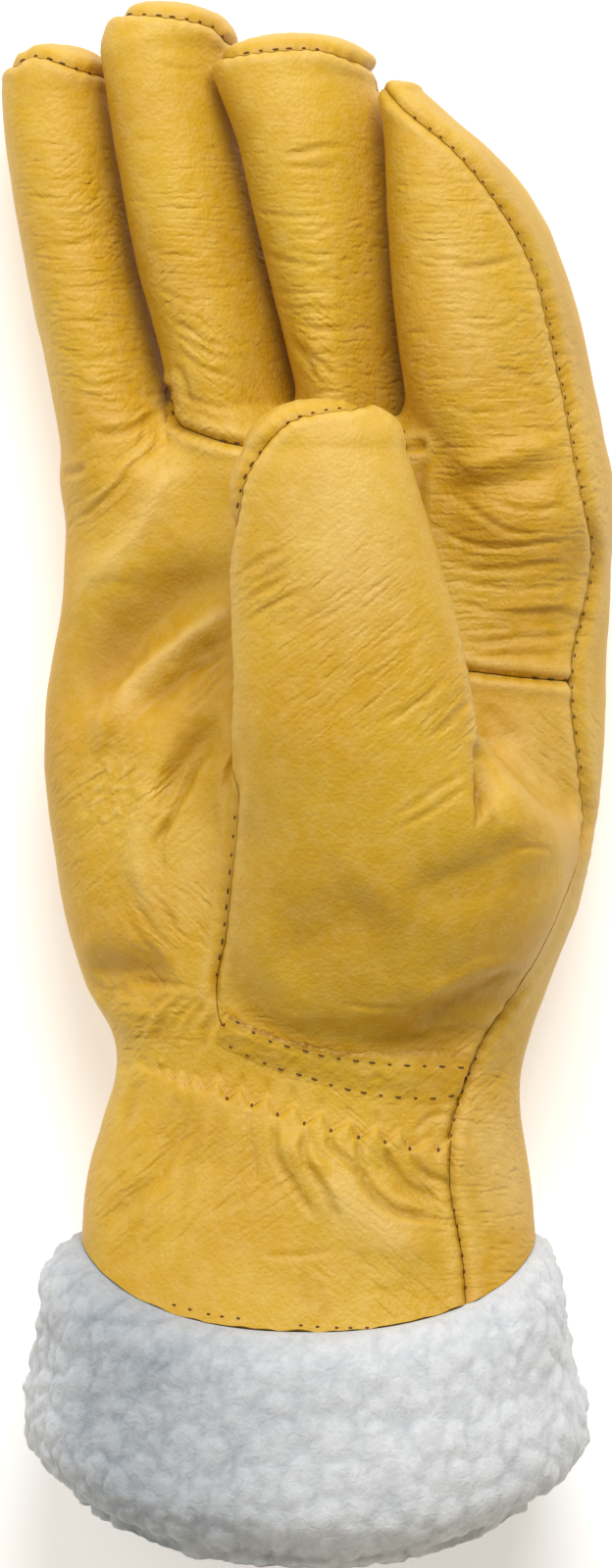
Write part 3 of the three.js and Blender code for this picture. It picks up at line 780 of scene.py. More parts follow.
def formed_skin(form: GloveForm, grid: SurfaceGrid) -> Skin:
    """The skin of the glove's form on a grid, eased and then laid exactly on the form.

    Args:
        form: the glove's form.
        grid: the grid to take the skin from.

    Returns:
        The skin with its normals.
    """
    points, quads = grid.net(grid.values(form))
    quads = quads[(quads >= 0).all(axis=1)]
    for _ in range(2):  # each point moves halfway to the middle of its neighbours
        total = np.zeros_like(points)
        count = np.zeros(len(points))
        for a, b in ((0, 1), (1, 2), (2, 3), (3, 0)):
            for near, other in ((a, b), (b, a)):
                for axis in range(3):
                    total[:, axis] += np.bincount(
                        quads[:, near], points[quads[:, other], axis], len(points)
                    )
                count += np.bincount(quads[:, near], minlength=len(points))
        points = 0.5 * points + 0.5 * total / np.maximum(count, 1)[:, None]
    for _ in range(2):  # and then back to where the distance is 0
        away, slope = form.slopes(points)
        steep = np.maximum((slope**2).sum(axis=1), 0.05)
        points = points - np.clip(away / steep, -0.5, 0.5)[:, None] * slope
    normals = slope / np.maximum(np.linalg.norm(slope, axis=1), 1e-6)[:, None]
    return Skin(points, normals, quads).packed(quads)


def gradient_noise(points: Array, seed: int) -> Array:
    """Smooth noise of about -1 to 1, the same each run, that changes over a distance of 1.

    Args:
        points: the places, one row each.
        seed: chooses one of many patterns.

    Returns:
        One value a place.
    """
    cell = np.floor(points)
    local = points - cell
    fade = local**3 * (local * (local * 6 - 15) + 10)
    whole = cell.astype(np.int64)
    total = np.zeros(len(points))
    for corner in np.ndindex(2, 2, 2):
        # large odd numbers mix the bits of a corner's place into three slopes
        at = (whole + np.array(corner)).astype(np.uint32)
        mixed = at[:, 0] * np.uint32(73856093) ^ at[:, 1] * np.uint32(19349663)
        mixed ^= at[:, 2] * np.uint32(83492791) ^ np.uint32(seed * 7919 + 101)
        mixed ^= mixed >> np.uint32(13)
        mixed *= np.uint32(0x5BD1E995)
        mixed ^= mixed >> np.uint32(15)
        weight = np.ones(len(points))
        value = np.zeros(len(points))
        for axis in range(3):
            lean = ((mixed >> np.uint32(8 * axis)) & np.uint32(255)) / 127.5 - 1
            value += lean * (local[:, axis] - corner[axis])
            weight *= fade[:, axis] if corner[axis] else 1 - fade[:, axis]
        total += weight * value
    return total * 1.25


def smooth_line(points: Line, step: float = 0.5) -> Array:
    """An even, smooth line through points in X and Y.

    Args:
        points: the points that it passes through.
        step: the spacing of the points that are returned.

    Returns:
        The line's points.
    """
    given = np.array(points, float)
    padded = np.concatenate([given[:1], given, given[-1:]])
    t = np.linspace(0, 1, 24, endpoint=False)[:, None]
    pieces = []
    for a, b, c, d in zip(padded, padded[1:], padded[2:], padded[3:]):
        pieces.append(
            b
            + 0.5 * (c - a) * t
            + (a - 2.5 * b + 2 * c - 0.5 * d) * t**2
            + (1.5 * (b - c) + 0.5 * (d - a)) * t**3
        )
    dense = np.concatenate([*pieces, given[-1:]])
    run = np.concatenate([[0], np.cumsum(np.linalg.norm(np.diff(dense, axis=0), axis=1))])
    even = np.linspace(0, run[-1], max(int(run[-1] / step), 1) + 1)
    return np.stack([np.interp(even, run, dense[:, axis]) for axis in range(2)], axis=1)


def beside(line: Array, places: Array, reach: float) -> tuple[Array, Array, Array]:
    """How places in X and Y lie beside a line.

    Args:
        line: the line's points.
        places: the places, one row each.
        reach: distances are measured up to this.

    Returns:
        The distance, the side (1 on the left of the line, -1 on its right) and the length
        along the line to the nearest place on it.
    """
    chunk = 12  # legs of the line that are measured together
    starts = line[:-1]
    leg = line[1:] - starts
    long = np.maximum(np.linalg.norm(leg, axis=1), 1e-9)
    run = np.concatenate([[0], np.cumsum(long)[:-1]])
    distance = np.full(len(places), reach)
    side = np.ones(len(places))
    along = np.zeros(len(places))
    for first in range(0, len(starts), chunk):
        part = slice(first, first + chunk)
        ends = line[first : first + chunk + 1]
        low, high = ends.min(axis=0) - reach, ends.max(axis=0) + reach
        near = np.nonzero(((places > low) & (places < high)).all(axis=1))[0]
        away = places[near, None, :] - starts[None, part]
        way = leg[part] / long[part, None]
        t = np.clip((away * way).sum(axis=2), 0, long[part])
        gap = np.linalg.norm(away - t[..., None] * way, axis=2)
        cross = way[:, 0] * away[..., 1] - way[:, 1] * away[..., 0]
        best = (np.arange(len(near)), gap.argmin(axis=1))
        closer = gap[best] < distance[near]
        kept = near[closer]
        distance[kept] = gap[best][closer]
        side[kept] = np.where(cross[best][closer] >= 0, 1.0, -1.0)
        along[kept] = (run[part] + t)[best][closer]
    return distance, side, along


class PlanMap:
    """Values over the glove as seen from the front, read off a fine grid in X and Y."""

    LOW = (-64.0, -160.0)
    HIGH = (64.0, 152.0)
    STEP = 0.5
    REACH = 12.0  # distances are measured up to this far from a line

    def __init__(self) -> None:
        """Lays out the grid's points."""
        self.xs = np.arange(self.LOW[0], self.HIGH[0] + self.STEP, self.STEP)
        self.ys = np.arange(self.LOW[1], self.HIGH[1] + self.STEP, self.STEP)
        across, along = np.meshgrid(self.xs, self.ys, indexing="ij")
        self.places = np.stack([across.reshape(-1), along.reshape(-1)], axis=1)

    def read(self, values: Array, points: Array) -> Array:
        """Reads values off the grid, mixed from the four grid points round each place.

        Args:
            values: one value for each grid point.
            points: the places that are read.

        Returns:
            One value a place.
        """
        grid = values.reshape(len(self.xs), len(self.ys))
        u = np.clip((points[:, 0] - self.LOW[0]) / self.STEP, 0, len(self.xs) - 1.001)
        v = np.clip((points[:, 1] - self.LOW[1]) / self.STEP, 0, len(self.ys) - 1.001)
        i, j = u.astype(int), v.astype(int)
        u, v = u - i, v - j
        return (
            grid[i, j] * (1 - u) * (1 - v)
            + grid[i + 1, j] * u * (1 - v)
            + grid[i, j + 1] * (1 - u) * v
            + grid[i + 1, j + 1] * u * v
        )


PLAN = PlanMap()


class Outline:
    """A closed outline in X and Y, as a distance: positive inside."""

    def __init__(self, points: Array | list[Array]) -> None:
        """Measures the outline over the plan.

        Args:
            points: its corners, in order.
        """
        closed = np.array([*points, points[0]])
        distance, _, _ = beside(closed, PLAN.places, PLAN.REACH)
        inside = np.zeros(len(PLAN.places), bool)
        x, y = PLAN.places[:, 0], PLAN.places[:, 1]
        for (x0, y0), (x1, y1) in zip(closed, closed[1:]):
            if y0 == y1:
                continue
            spans = (y0 > y) != (y1 > y)
            inside ^= spans & (x < x0 + (y - y0) * (x1 - x0) / (y1 - y0))
        self.values = np.where(inside, distance, -distance)

    def at(self, points: Array) -> Array:
        """How far inside the outline each point is."""
        return PLAN.read(self.values, points)


class SeamLine:
    """A line that runs over the glove, seen from the front."""

    def __init__(self, points: Line) -> None:
        """Measures the line over the plan.

        Args:
            points: the points that it passes through.
        """
        self.line = smooth_line(points)
        self.distance, side, self.along = beside(self.line, PLAN.places, PLAN.REACH)
        self.offset = self.distance * side

    def at(self, points: Array) -> tuple[Array, Array]:
        """Where points lie beside the line.

        Args:
            points: places on the glove.

        Returns:
            Each one's offset, positive on the line's left, and how far along it lies.
        """
        offset, distance = (PLAN.read(values, points) for values in (self.offset, self.distance))
        torn = distance - np.abs(offset) > PLAN.STEP  # the side changes past the line's end
        offset = np.where(torn, np.copysign(distance, offset), offset)
        return offset, PLAN.read(self.along, points)

    def beside(self, offset: float, step: float = 0.5) -> Array:
        """A line beside this one.

        Args:
            offset: how far to the left it lies.
            step: the spacing of its points.

        Returns:
            Its points.
        """
        way = np.gradient(self.line, axis=0)
        way /= np.linalg.norm(way, axis=1)[:, None]
        moved = self.line + offset * np.stack([-way[:, 1], way[:, 0]], axis=1)
        run = np.concatenate([[0], np.cumsum(np.linalg.norm(np.diff(moved, axis=0), axis=1))])
        even = np.arange(0, run[-1], step)
        return np.stack([np.interp(even, run, moved[:, axis]) for axis in range(2)], axis=1)


class Seams:
    """The seams between the leather panels, and the region that each panel covers."""

    SIDE = (
        (13, 134), (15.8, 128.1), (29, 117.2), (40.7, 101), (45.8, 85.4), (52, 53.5), (53.9, 41),
        (50, 20), (52, 0), (52, -9.8), (44.7, -29.4), (31.8, -51.5), (26.9, -70), (29.8, -92),
        (30.2, -120),
    )
    TIPS = {
        "little": ((-70, 134.6), (-55.9, 135.2), (-50.5, 137), (-39.4, 133.6), (-20, 131)),
        "ring": ((-60, 144), (-36, 144.6), (-19, 142.9), (-13.5, 139), (0, 132)),
        "middle": ((-40, 134), (-17, 136), (-8, 137.2), (1.5, 137.6), (9.2, 135.4), (30, 128)),
    }
    THUMB_TIP = (
        (-12.9, -3), (-13.4, 2), (-15.2, 9), (-15.4, 34), (-14, 46), (-13.2, 50), (-11, 58),
        (-4, 66.6), (3, 69.2), (9, 69.9), (15, 70.5), (24, 60), (31, 20), (33.4, 4),
    )
    THUMB_CROTCH = (31, 12)
    THENAR = (
        (-12.4, 10), (-12.9, 0), (-14.1, -14), (-15.6, -28), (-17, -38), (-15, -46), (-8, -49.5),
        (0, -52), (14, -54.5), (31, -55),
    )
    BALL_CORNER = (60, -55)
    BASES = {
        "ring_middle": (
            (-25.8, 74), (-25.2, 69.4), (-23, 66.6), (-14, 63.6), (0, 62.6), (21.6, 63),
        ),
        "index": (
            (18.6, 66), (19.2, 50), (21, 34), (25.5, 24), (30, 21.2), (40, 20), (50, 19.2),
            (60, 19.6),
        ),
    }
    SIDE_LEVEL = (21, 0.1)  # height, and rise for each millimetre of X
    THUMB_LEVEL = (46, 0.25)  # height, and rise for each millimetre of Y
    THUMB_AIR = (45, 0.06)
    THUMB_BACK_FROM = 13
    THUMB_ROLL = 9.0  # how far the thumb's back leather reaches past its tip seam
    FAR_LEFT = -200.0
    PAST_TIPS = 170.0
    PAST_MOUTH = -158.0
    LEAN = 20.0
    TIPS_FROM = 90.0

    def __init__(self) -> None:
        """Measures every seam and outline once."""
        self.side, self.thumb_tip, self.thenar = (
            SeamLine(points) for points in (self.SIDE, self.THUMB_TIP, self.THENAR)
        )
        self.tips, self.bases = (
            {name: SeamLine(points) for name, points in lines.items()}
            for lines in (self.TIPS, self.BASES)
        )
        self.front_outline = Outline([
            *self.side.line,
            (self.FAR_LEFT, self.PAST_MOUTH),
            (self.FAR_LEFT, self.PAST_TIPS),
            (self.SIDE[0][0], self.PAST_TIPS),
        ])
        self.thumb_outline = Outline(self.thumb_tip.line)
        self.ball_outline = Outline([
            *self.thenar.line, self.BALL_CORNER, *self.BASES["index"][:3:-1], self.THUMB_CROTCH
        ])
        self.tip_caps, self.base_outlines = {}, {}
        for name, seam in self.tips.items():
            (first, _), (last, _) = seam.line[0], seam.line[-1]
            ends = [(last, self.PAST_TIPS), (first, self.PAST_TIPS)]
            self.tip_caps[name] = Outline([*seam.line, *ends])
        for name, seam in self.bases.items():
            (first, level), (last, _) = seam.line[0], seam.line[-1]
            left, right = first - 2 * self.LEAN, last + self.LEAN
            ends = [(right, self.PAST_TIPS), (left, self.PAST_TIPS), (left, level)]
            self.base_outlines[name] = Outline([*seam.line, *ends])

    @staticmethod
    def zones(points: Array) -> dict[str, Array]:
        """How far points lie inside the room between the clefts beside each finger.

        Args:
            points: places on the glove.

        Returns:
            One array a finger, and one for the ring and middle fingers together.
        """
        aside = {name: cleft.offset(points.T) for name, cleft in CLEFTS.items()}
        return {
            "little": -aside["little_ring"],
            "ring": np.minimum(aside["little_ring"], -aside["ring_middle"]),
            "middle": np.minimum(aside["ring_middle"], -aside["middle_index"]),
            "ring_middle": np.minimum(aside["little_ring"], -aside["middle_index"]),
            "index": aside["middle_index"],
        }

    def regions(self, points: Array) -> dict[str, Array]:
        """How far each point lies inside the region of each panel, negative outside it.

        Args:
            points: places on the glove's skin.

        Returns:
            One array a panel.
        """
        x, y, z = points.T
        zones = self.zones(points)
        side_height = z - self.SIDE_LEVEL[0] - self.SIDE_LEVEL[1] * x
        front = np.minimum(self.front_outline.at(points), side_height)
        for name, cap in self.tip_caps.items():
            over = np.minimum(np.minimum(cap.at(points), zones[name]), y - self.TIPS_FROM)
            front = np.minimum(front, -over)
        free = np.minimum(
            self.thumb_outline.at(points), z - self.THUMB_LEVEL[0] - self.THUMB_LEVEL[1] * y
        )
        ball = np.minimum(self.ball_outline.at(points), side_height)
        thumb = np.maximum(free, ball)
        air = np.minimum.reduce([
            z - self.THUMB_AIR[0] - self.THUMB_AIR[1] * y,
            y - self.THUMB_BACK_FROM,
            self.thumb_outline.at(points) + self.THUMB_ROLL,
        ])
        rest = np.minimum(front, -thumb)
        under = np.minimum(rest, -air)
        ring_middle, index = (
            np.minimum(self.base_outlines[name].at(points), zones[name])
            for name in ("ring_middle", "index")
        )
        return {
            "palm": np.minimum.reduce([under, -ring_middle, -index]),
            "ring_middle": np.minimum(under, ring_middle),
            "index": np.minimum(under, index),
            "thumb_front": np.minimum(front, thumb),
            "thumb_back": np.minimum(rest, air),
            "back": -front,
        }


# width, depth (below 0 for a roll), part, lip and fade, then the line in the photograph's pixels
# the palm's broad trough, its rolls and the sharp creases beside the thumb
CREASES = """
# the palm's broad hollow, its rolls and the sharp creases beside the thumb
6.6 3.2 hand 0 0.36 | 262,575 240,583 178,615 136,657 92,712 66,752
5 -1.8 hand 0 0.3 | 190,440 177,475 150,530 120,572 92,606 70,650
3 -1.8 hand 0 0.2 | 250,612 239,622 177,660 135,697 112,737 90,780
2.8 1.5 hand 0.2 0.3 | 242,642 212,664 183,690 156,715 130,745
0.8 0.8 hand | 238,664 212,676 185,688
0.7 0.7 hand | 238,670 214,691 201,706 180,722
0.7 0.7 hand | 239,678 219,698 199,720 190,735
3.4 1.7 hand 0.2 0.35 | 232,722 205,755 185,782 170,808 160,840
0.9 1.3 hand | 226,757 209,770 196,789 187,810 178,828 170,845 161,860 163,885
0.7 0.6 hand | 178,820 168,850 166,880 170,905
3 -1.3 hand 0 0.3 | 205,722 178,759 161,793 150,830 143,860 141,882 147,901 160,925 176,945
3 -1.8 hand 0 0.35 | 243,670 239,735 235,790 231,850
0.8 0.5 | 136,915 155,945 182,973
0.8 0.5 | 150,903 168,927 188,957
0.8 0.4 | 128,930 146,960 172,985
# the wrist, where the elastic draws the palm in
4.2 2 all 0.2 0.3 | 70,985 110,992 150,996 185,992
0.9 0.8 | 122,1004 150,1003 172,1003 200,1006
0.8 0.8 | 82,992 94,1010 105,1024
0.9 0.8 | 93,1000 104,1016 115,1032
0.9 0.8 | 104,1000 112,1014 121,1028
0.9 0.7 | 114,1002 122,1012 131,1020
1 0.8 | 200,1008 176,1027 162,1050 152,1080
0.9 0.7 | 208,1012 184,1034 168,1060 160,1082
1 0.9 | 222,1026 211,1050 201,1080
0.8 0.5 | 190,1006 164,1022 146,1045 140,1072
0.8 0.6 | 214,1014 196,1040 183,1066
# the root of the little finger
0.8 0.9 | 173,410 146,430 116,441 84,442
0.7 0.8 | 171,413 140,438 116,446 86,450
0.7 0.5 | 165,408 130,424 96,428
1 1 | 60,481 74,481 90,475
0.8 1 | 163,428 159,455 141,472 125,492 102,513 80,529 62,545
1.4 -0.6 all 0 0.3 | 158,432 152,456 134,474 116,494 96,512 74,526
0.7 0.5 | 152,430 143,452 128,466 110,480
# the little finger
0.6 0.3 | 40,215 70,222 100,219 122,208
0.6 0.5 | 36,247 60,251 82,249 115,242 138,238
0.6 0.3 | 44,290 76,297 110,292 140,284
0.6 0.3 | 50,322 80,330 120,326 152,322
0.7 0.4 | 55,355 90,367 131,360 165,362
0.7 0.5 | 60,384 96,395 131,390 163,395
0.8 0.6 | 66,405 110,411 142,408 171,397
0.7 0.5 | 80,421 123,419 166,410
# the ring finger
0.6 0.4 | 156,66 192,74 217,68
0.6 0.3 | 150,255 180,265 215,262
0.6 0.4 | 156,293 181,307 210,316
0.7 0.6 | 165,321 192,340 219,353 247,356
0.7 0.6 | 169,337 203,359 238,370 262,371
0.7 0.6 | 174,353 203,375 247,389 275,388
0.8 0.6 | 174,370 186,384 192,403 198,420
0.8 0.6 | 181,400 203,411 236,419 258,415
# the middle finger
0.8 0.8 | 282,163 294,164 313,159 329,155 346,153 361,150
0.7 0.5 | 278,166 292,175 330,175 346,167 356,158
0.8 0.7 | 370,168 384,153 392,143
0.8 0.7 | 373,190 385,180 392,168
0.7 0.6 | 374,206 386,192 392,180
0.6 0.4 | 250,205 268,220 300,226 340,220
0.6 0.4 | 290,241 315,245 335,236 352,232
0.7 0.6 | 256,248 268,259 291,271 321,274 349,271
0.6 0.4 | 262,280 280,298 310,304 345,300
0.6 0.4 | 270,300 290,316 330,320 380,314
0.8 0.8 | 292,331 318,338 348,340 379,337 402,331
0.8 0.7 | 286,338 300,352 318,367 340,384 360,387
0.7 0.6 | 293,348 315,374 328,396
0.7 0.5 | 310,356 340,364 375,362 398,356
# the index finger
0.8 0.8 | 452,275 470,278 487,277 516,270 530,263
0.6 0.4 | 446,325 466,334 496,341 516,334 534,323
0.7 0.6 | 500,380 528,387 548,393
0.6 0.5 | 505,388 534,396 562,399
0.6 0.4 | 440,415 480,424 520,420 560,410
0.7 0.5 | 538,443 551,439 563,441 574,446
2.4 -0.9 all 0 0.3 | 450,468 480,474 512,470 548,458 578,450
2.6 0.9 all 0.2 0.3 | 437,490 467,502 499,502 534,490 582,477
0.8 0.6 | 440,500 467,513 493,532 524,545 560,547
0.8 0.6 | 484,509 516,519 551,521 588,509
1.4 1.0 hand | 435,466 428,488 426,510 435,532
0.8 0.8 hand | 437,538 466,552 500,560 560,556 600,548
0.8 0.7 hand | 443,566 462,579 507,582 560,578 596,572
0.8 0.5 hand | 452,608 475,617 498,627 539,625 600,618
0.7 0.5 hand | 450,592 490,598 540,602 600,592
0.8 0.7 hand | 462,650 491,656 526,653 600,645
0.7 0.5 hand | 470,672 505,670 550,668 590,662
0.6 0.7 | 586,449 598,444 609,437
# the thumb and its crotch
0.7 0.5 thumb | 244,590 268,574 292,562
0.8 0.5 thumb | 248,606 278,588 303,575
0.8 0.6 thumb | 244,621 270,604 302,589
0.8 0.5 thumb | 244,642 264,628 288,615 325,603
0.8 0.5 | 380,748 424,719 443,703 464,686
0.8 0.6 | 428,756 456,738 480,708
0.8 0.5 | 396,848 437,828 487,794
0.8 0.4 | 392,838 430,814 484,780
1.9 2.2 all 0 0.3 | 494,742 495,765 494,795 489,822 485,840
0.8 1.2 all 0.3 0.3 | 491,788 489,812 486,832 480,850
3.4 -0.6 all 0 0.3 | 500,748 515,775 522,810 518,845 500,868
1.8 0.5 all 0.2 0.3 | 490,712 500,735 518,752 534,764
0.8 0.6 | 494,816 501,832 505,850
0.8 0.5 | 522,869 540,864 566,869
4 1.2 all 0 0.3 | 552,858 526,866 501,882 469,895 437,904 400,918
3.4 0.5 all 0 0.3 | 590,868 553,889 523,903 461,918 400,932
0.6 0.4 all 0.2 0.3 | 340,1018 380,1021 426,1020
2.4 1.8 | 545,982 520,997 491,1013 443,1032 405,1043
9 1.8 all 0 0.3 | 400,915 340,950 262,985
4.5 -1.4 all 0 0.3 | 245,1018 310,1030 370,1030 430,1012 480,990
2.6 1.2 all 0.3 0.3 | 360,1062 411,1064 450,1058 500,1045
# the front of the cuff, below the elastic's zigzag
0.7 0.7 all 0.4 0.15 | 257,1126 256,1152 261,1184 262,1203
0.9 1.1 all 0.4 0.2 | 283,1135 280,1158 283,1178 302,1210 325,1245
0.9 1.3 all 0.4 0.2 | 310,1144 310,1171 315,1190 331,1210 341,1232 347,1251
0.8 0.7 all 0.4 0.15 | 312,1144 320,1168 338,1185
0.8 1.2 all 0.4 0.15 | 337,1151 337,1168 357,1184 366,1200
0.8 1.2 all 0.4 0.15 | 365,1158 366,1184 374,1203
1.2 1.5 | 345,1180 366,1200 382,1219 407,1232 440,1240 464,1251
0.8 1.2 all 0.4 0.15 | 392,1163 398,1184 414,1203 433,1216 447,1226
0.8 0.8 | 395,1194 417,1216 443,1232 457,1238
0.8 1.1 all 0.4 0.15 | 417,1170 427,1187 443,1200 460,1205
0.8 0.6 | 417,1158 440,1137 464,1136
0.6 0.6 | 221,1084 222,1097
0.6 0.6 | 246,1092 247,1105
0.6 0.7 | 272,1098 273,1113
0.6 0.8 | 298,1104 300,1123
0.6 0.7 | 327,1115 328,1131
0.6 0.6 | 355,1125 356,1139
0.6 0.6 | 384,1131 385,1145
6 -1.5 all 0 0.3 | 305,1165 340,1212 385,1250 430,1272 465,1280
3.6 1 all 0 0.3 | 375,1165 400,1190 430,1208 460,1218
2.2 -0.8 all 0 0.3 | 285,1148 299,1171 316,1186 340,1200
1.6 0.9 | 198,1104 187,1139 168,1184 137,1222 111,1267
1.4 0.5 | 208,1112 200,1158 191,1203 181,1254
1.4 0.4 | 232,1120 220,1171 213,1203
1.2 0.6 | 189,1108 165,1152 155,1171
1.2 0.6 | 156,1092 137,1120 124,1158
0.8 0.4 | 258,1274 300,1276 345,1271
1.2 0.5 | 308,1284 312,1318 316,1340
1.2 0.5 | 324,1298 330,1325 336,1350
"""
# width and share of painted shade (below 0 for painted highlight), part, lip and fade, then the
# line
# painted highlight: on ridges, the thumb's tip and the full parts
# painted shade: in the folds, and on the sides of the fingers
LIGHT_AND_SHADE_ROWS = """
# where the dye is deeper: in the folds, and on the sides of the fingers
5.5 0.5 hand 0 0.4 | 240,560 205,578 164,597 123,639 81,697 60,745
2.6 0.32 hand 0 0.3 | 240,640 205,668 170,700 146,726
2.6 0.34 hand 0 0.3 | 224,733 190,765 170,797 158,825 155,855
3.5 0.22 hand 0 0.3 | 66,560 55,640 47,720 52,800 68,880 90,950
4 0.22 hand 0 0.3 | 70,975 120,990 185,985
5 0.2 all 0 0.3 | 340,950 420,925 490,893 550,865
3.2 0.16 hand 0 0.2 | 96,60 108,170 128,290 160,400
4 0.2 hand 0 0.2 | 214,80 232,180 256,290 290,420
3.2 0.2 hand 0 0.2 | 382,110 386,230 394,360 402,450
3.2 0.2 hand 0 0.2 | 470,140 540,230 580,330 606,440
2.6 0.34 hand 0 0.2 | 402,400 420,480 440,590 452,640
2.2 0.34 all 0 0.3 | 494,735 496,770 492,815 484,845
9 0.16 all 0 0.3 | 250,800 250,880 260,960
# where it is worn paler: on ridges, the thumb's tip and the full parts
3 -0.5 hand 0 0.3 | 196,430 165,500 130,560 98,600 76,636
1.8 -0.6 hand 0 0.25 | 248,610 200,645 164,675 134,705 112,740
2 -0.4 hand 0 0.3 | 180,759 160,795 148,840 142,880 152,920 170,950
7 -0.3 hand 0 0.3 | 215,830 205,890 195,950
11 -0.5 thumb 0 0.4 | 300,430 340,500 360,590 380,690
9 -0.42 all 0 0.4 | 505,700 535,760 545,830
5 -0.5 all 0 0.3 | 320,1190 365,1240 430,1280
5 -0.6 all 0 0.3 | 480,1110 505,1180 525,1270
5 -0.3 hand 0 0.3 | 440,200 470,300 500,420
"""
# X, Y, reach along and across, angle, spacing and depth, then stretch and part where not 5 and hand
WRINKLES = """
36 42 18 16 0 2.4 0.25
34 78 16 16 -4 2.6 0.2
38 60 16 12 0 2.2 0.25
24 104 12 12 5 3.2 0.2
54 60 5 34 22 2.6 0.2
6 96 12 24 5 2.6 0.3
12 80 12 12 0 2.4 0.35
-2 78 6 16 -40 2.4 0.3
-14 78 12 10 -22 2.6 0.45
-16 104 12 16 0 3.0 0.25
-40 84 12 14 -3 2.4 0.35
-43 106 12 16 0 2.6 0.25
-33 100 4 24 38 2.2 0.35
-38 54 10 9 28 2.4 0.45
-26 66 8 8 35 2.2 0.4
-36 0 9 16 60 2.4 0.3 1.6
-41 -6 8 14 20 2.6 0.3 1.6
-27 -28 8 14 -45 2.6 0.3
-30 -44 14 6 5 2.6 0.5
-36 -50 10 7 70 2.4 0.5
46 -6 8 14 -60 2.6 0.4
50 8 8 8 -40 2.6 0.3
-6 36 8 10 32 2.4 0.4 6.0 thumb
8 26 14 18 34 2.6 0.22 9.0 thumb
20 20 8 16 38 2.4 0.35 8.0 thumb
22 -2 14 10 36 2.6 0.3 8.0
0 -10 10 20 48 2.8 0.3 8.0
8 -30 16 12 24 2.4 0.4 8.0
26 -24 16 10 16 2.2 0.45 6.0
30 -38 14 7 25 2.4 0.45
0 -42 12 6 5 2.2 0.45
14 -38 14 7 8 2.2 0.4 6.0
8 -60 16 4 -50 2.0 0.3
16 -74 8 10 -45 2.2 0.35
24 -72 6 8 -30 2.2 0.35
-20 -72 8 16 75 4.0 0.3
-32 -78 8 12 65 3.4 0.3
16 -94 12 6 -25 2.4 0.25
35 -52 10 8 25 2.0 0.4
36 -68 10 14 0 1.9 0.4
36 -84 10 10 10 2.0 0.35
"""


@dataclass(frozen=True)
class Wrinkles:
    """A patch of fine creases that run the same way."""

    x: float
    y: float
    long: float  # reach of the patch along its creases, mm
    wide: float  # reach across them
    angle: float  # degrees from +X to the creases
    spacing: float
    depth: float
    stretch: float = 5.0  # length of a crease over its spacing
    part: Part = Part.HAND

    @classmethod
    def read(cls, row: str) -> "Wrinkles":
        """Reads a row of the table.

        Args:
            row: the numbers, with the part after them where it isn't the hand.

        Returns:
            The patch.
        """
        numbers = [float(word) for word in row.split() if not word.isalpha()]
        parts = [Part(word) for word in row.split() if word.isalpha()]
        return cls(*numbers, *parts)


@dataclass(frozen=True)
class SeamShape:
    """How the leather lies beside a seam."""

    groove: float  # depth of the groove, mm
    width: float
    puff: float = 0.0  # height of the rolled edge beside it
    puff_at: float = 2.2  # how far from the seam that edge lies
    pucker: float = 0.0  # height of the puckers that the stitches pull
    pitch: float = 3.3
    reach: float = 2.5  # how far the puckers run from the seam

    def height(self, offset: Array, along: Array, uneven: Array) -> Array:
        """The height beside the seam.

        Args:
            offset: each point's offset from the seam.
            along: the length along the seam.
            uneven: how strong the puckers are.

        Returns:
            One height a point.
        """
        gap = np.abs(offset)
        wave = np.cos(2 * np.pi * along / self.pitch) * uneven
        return (
            -self.groove * np.exp(-((gap / self.width) ** 2))
            + self.puff * np.exp(-(((gap - self.puff_at) / 1.2) ** 2))
            - self.pucker * wave * np.exp(-((gap / self.reach) ** 2))
        )


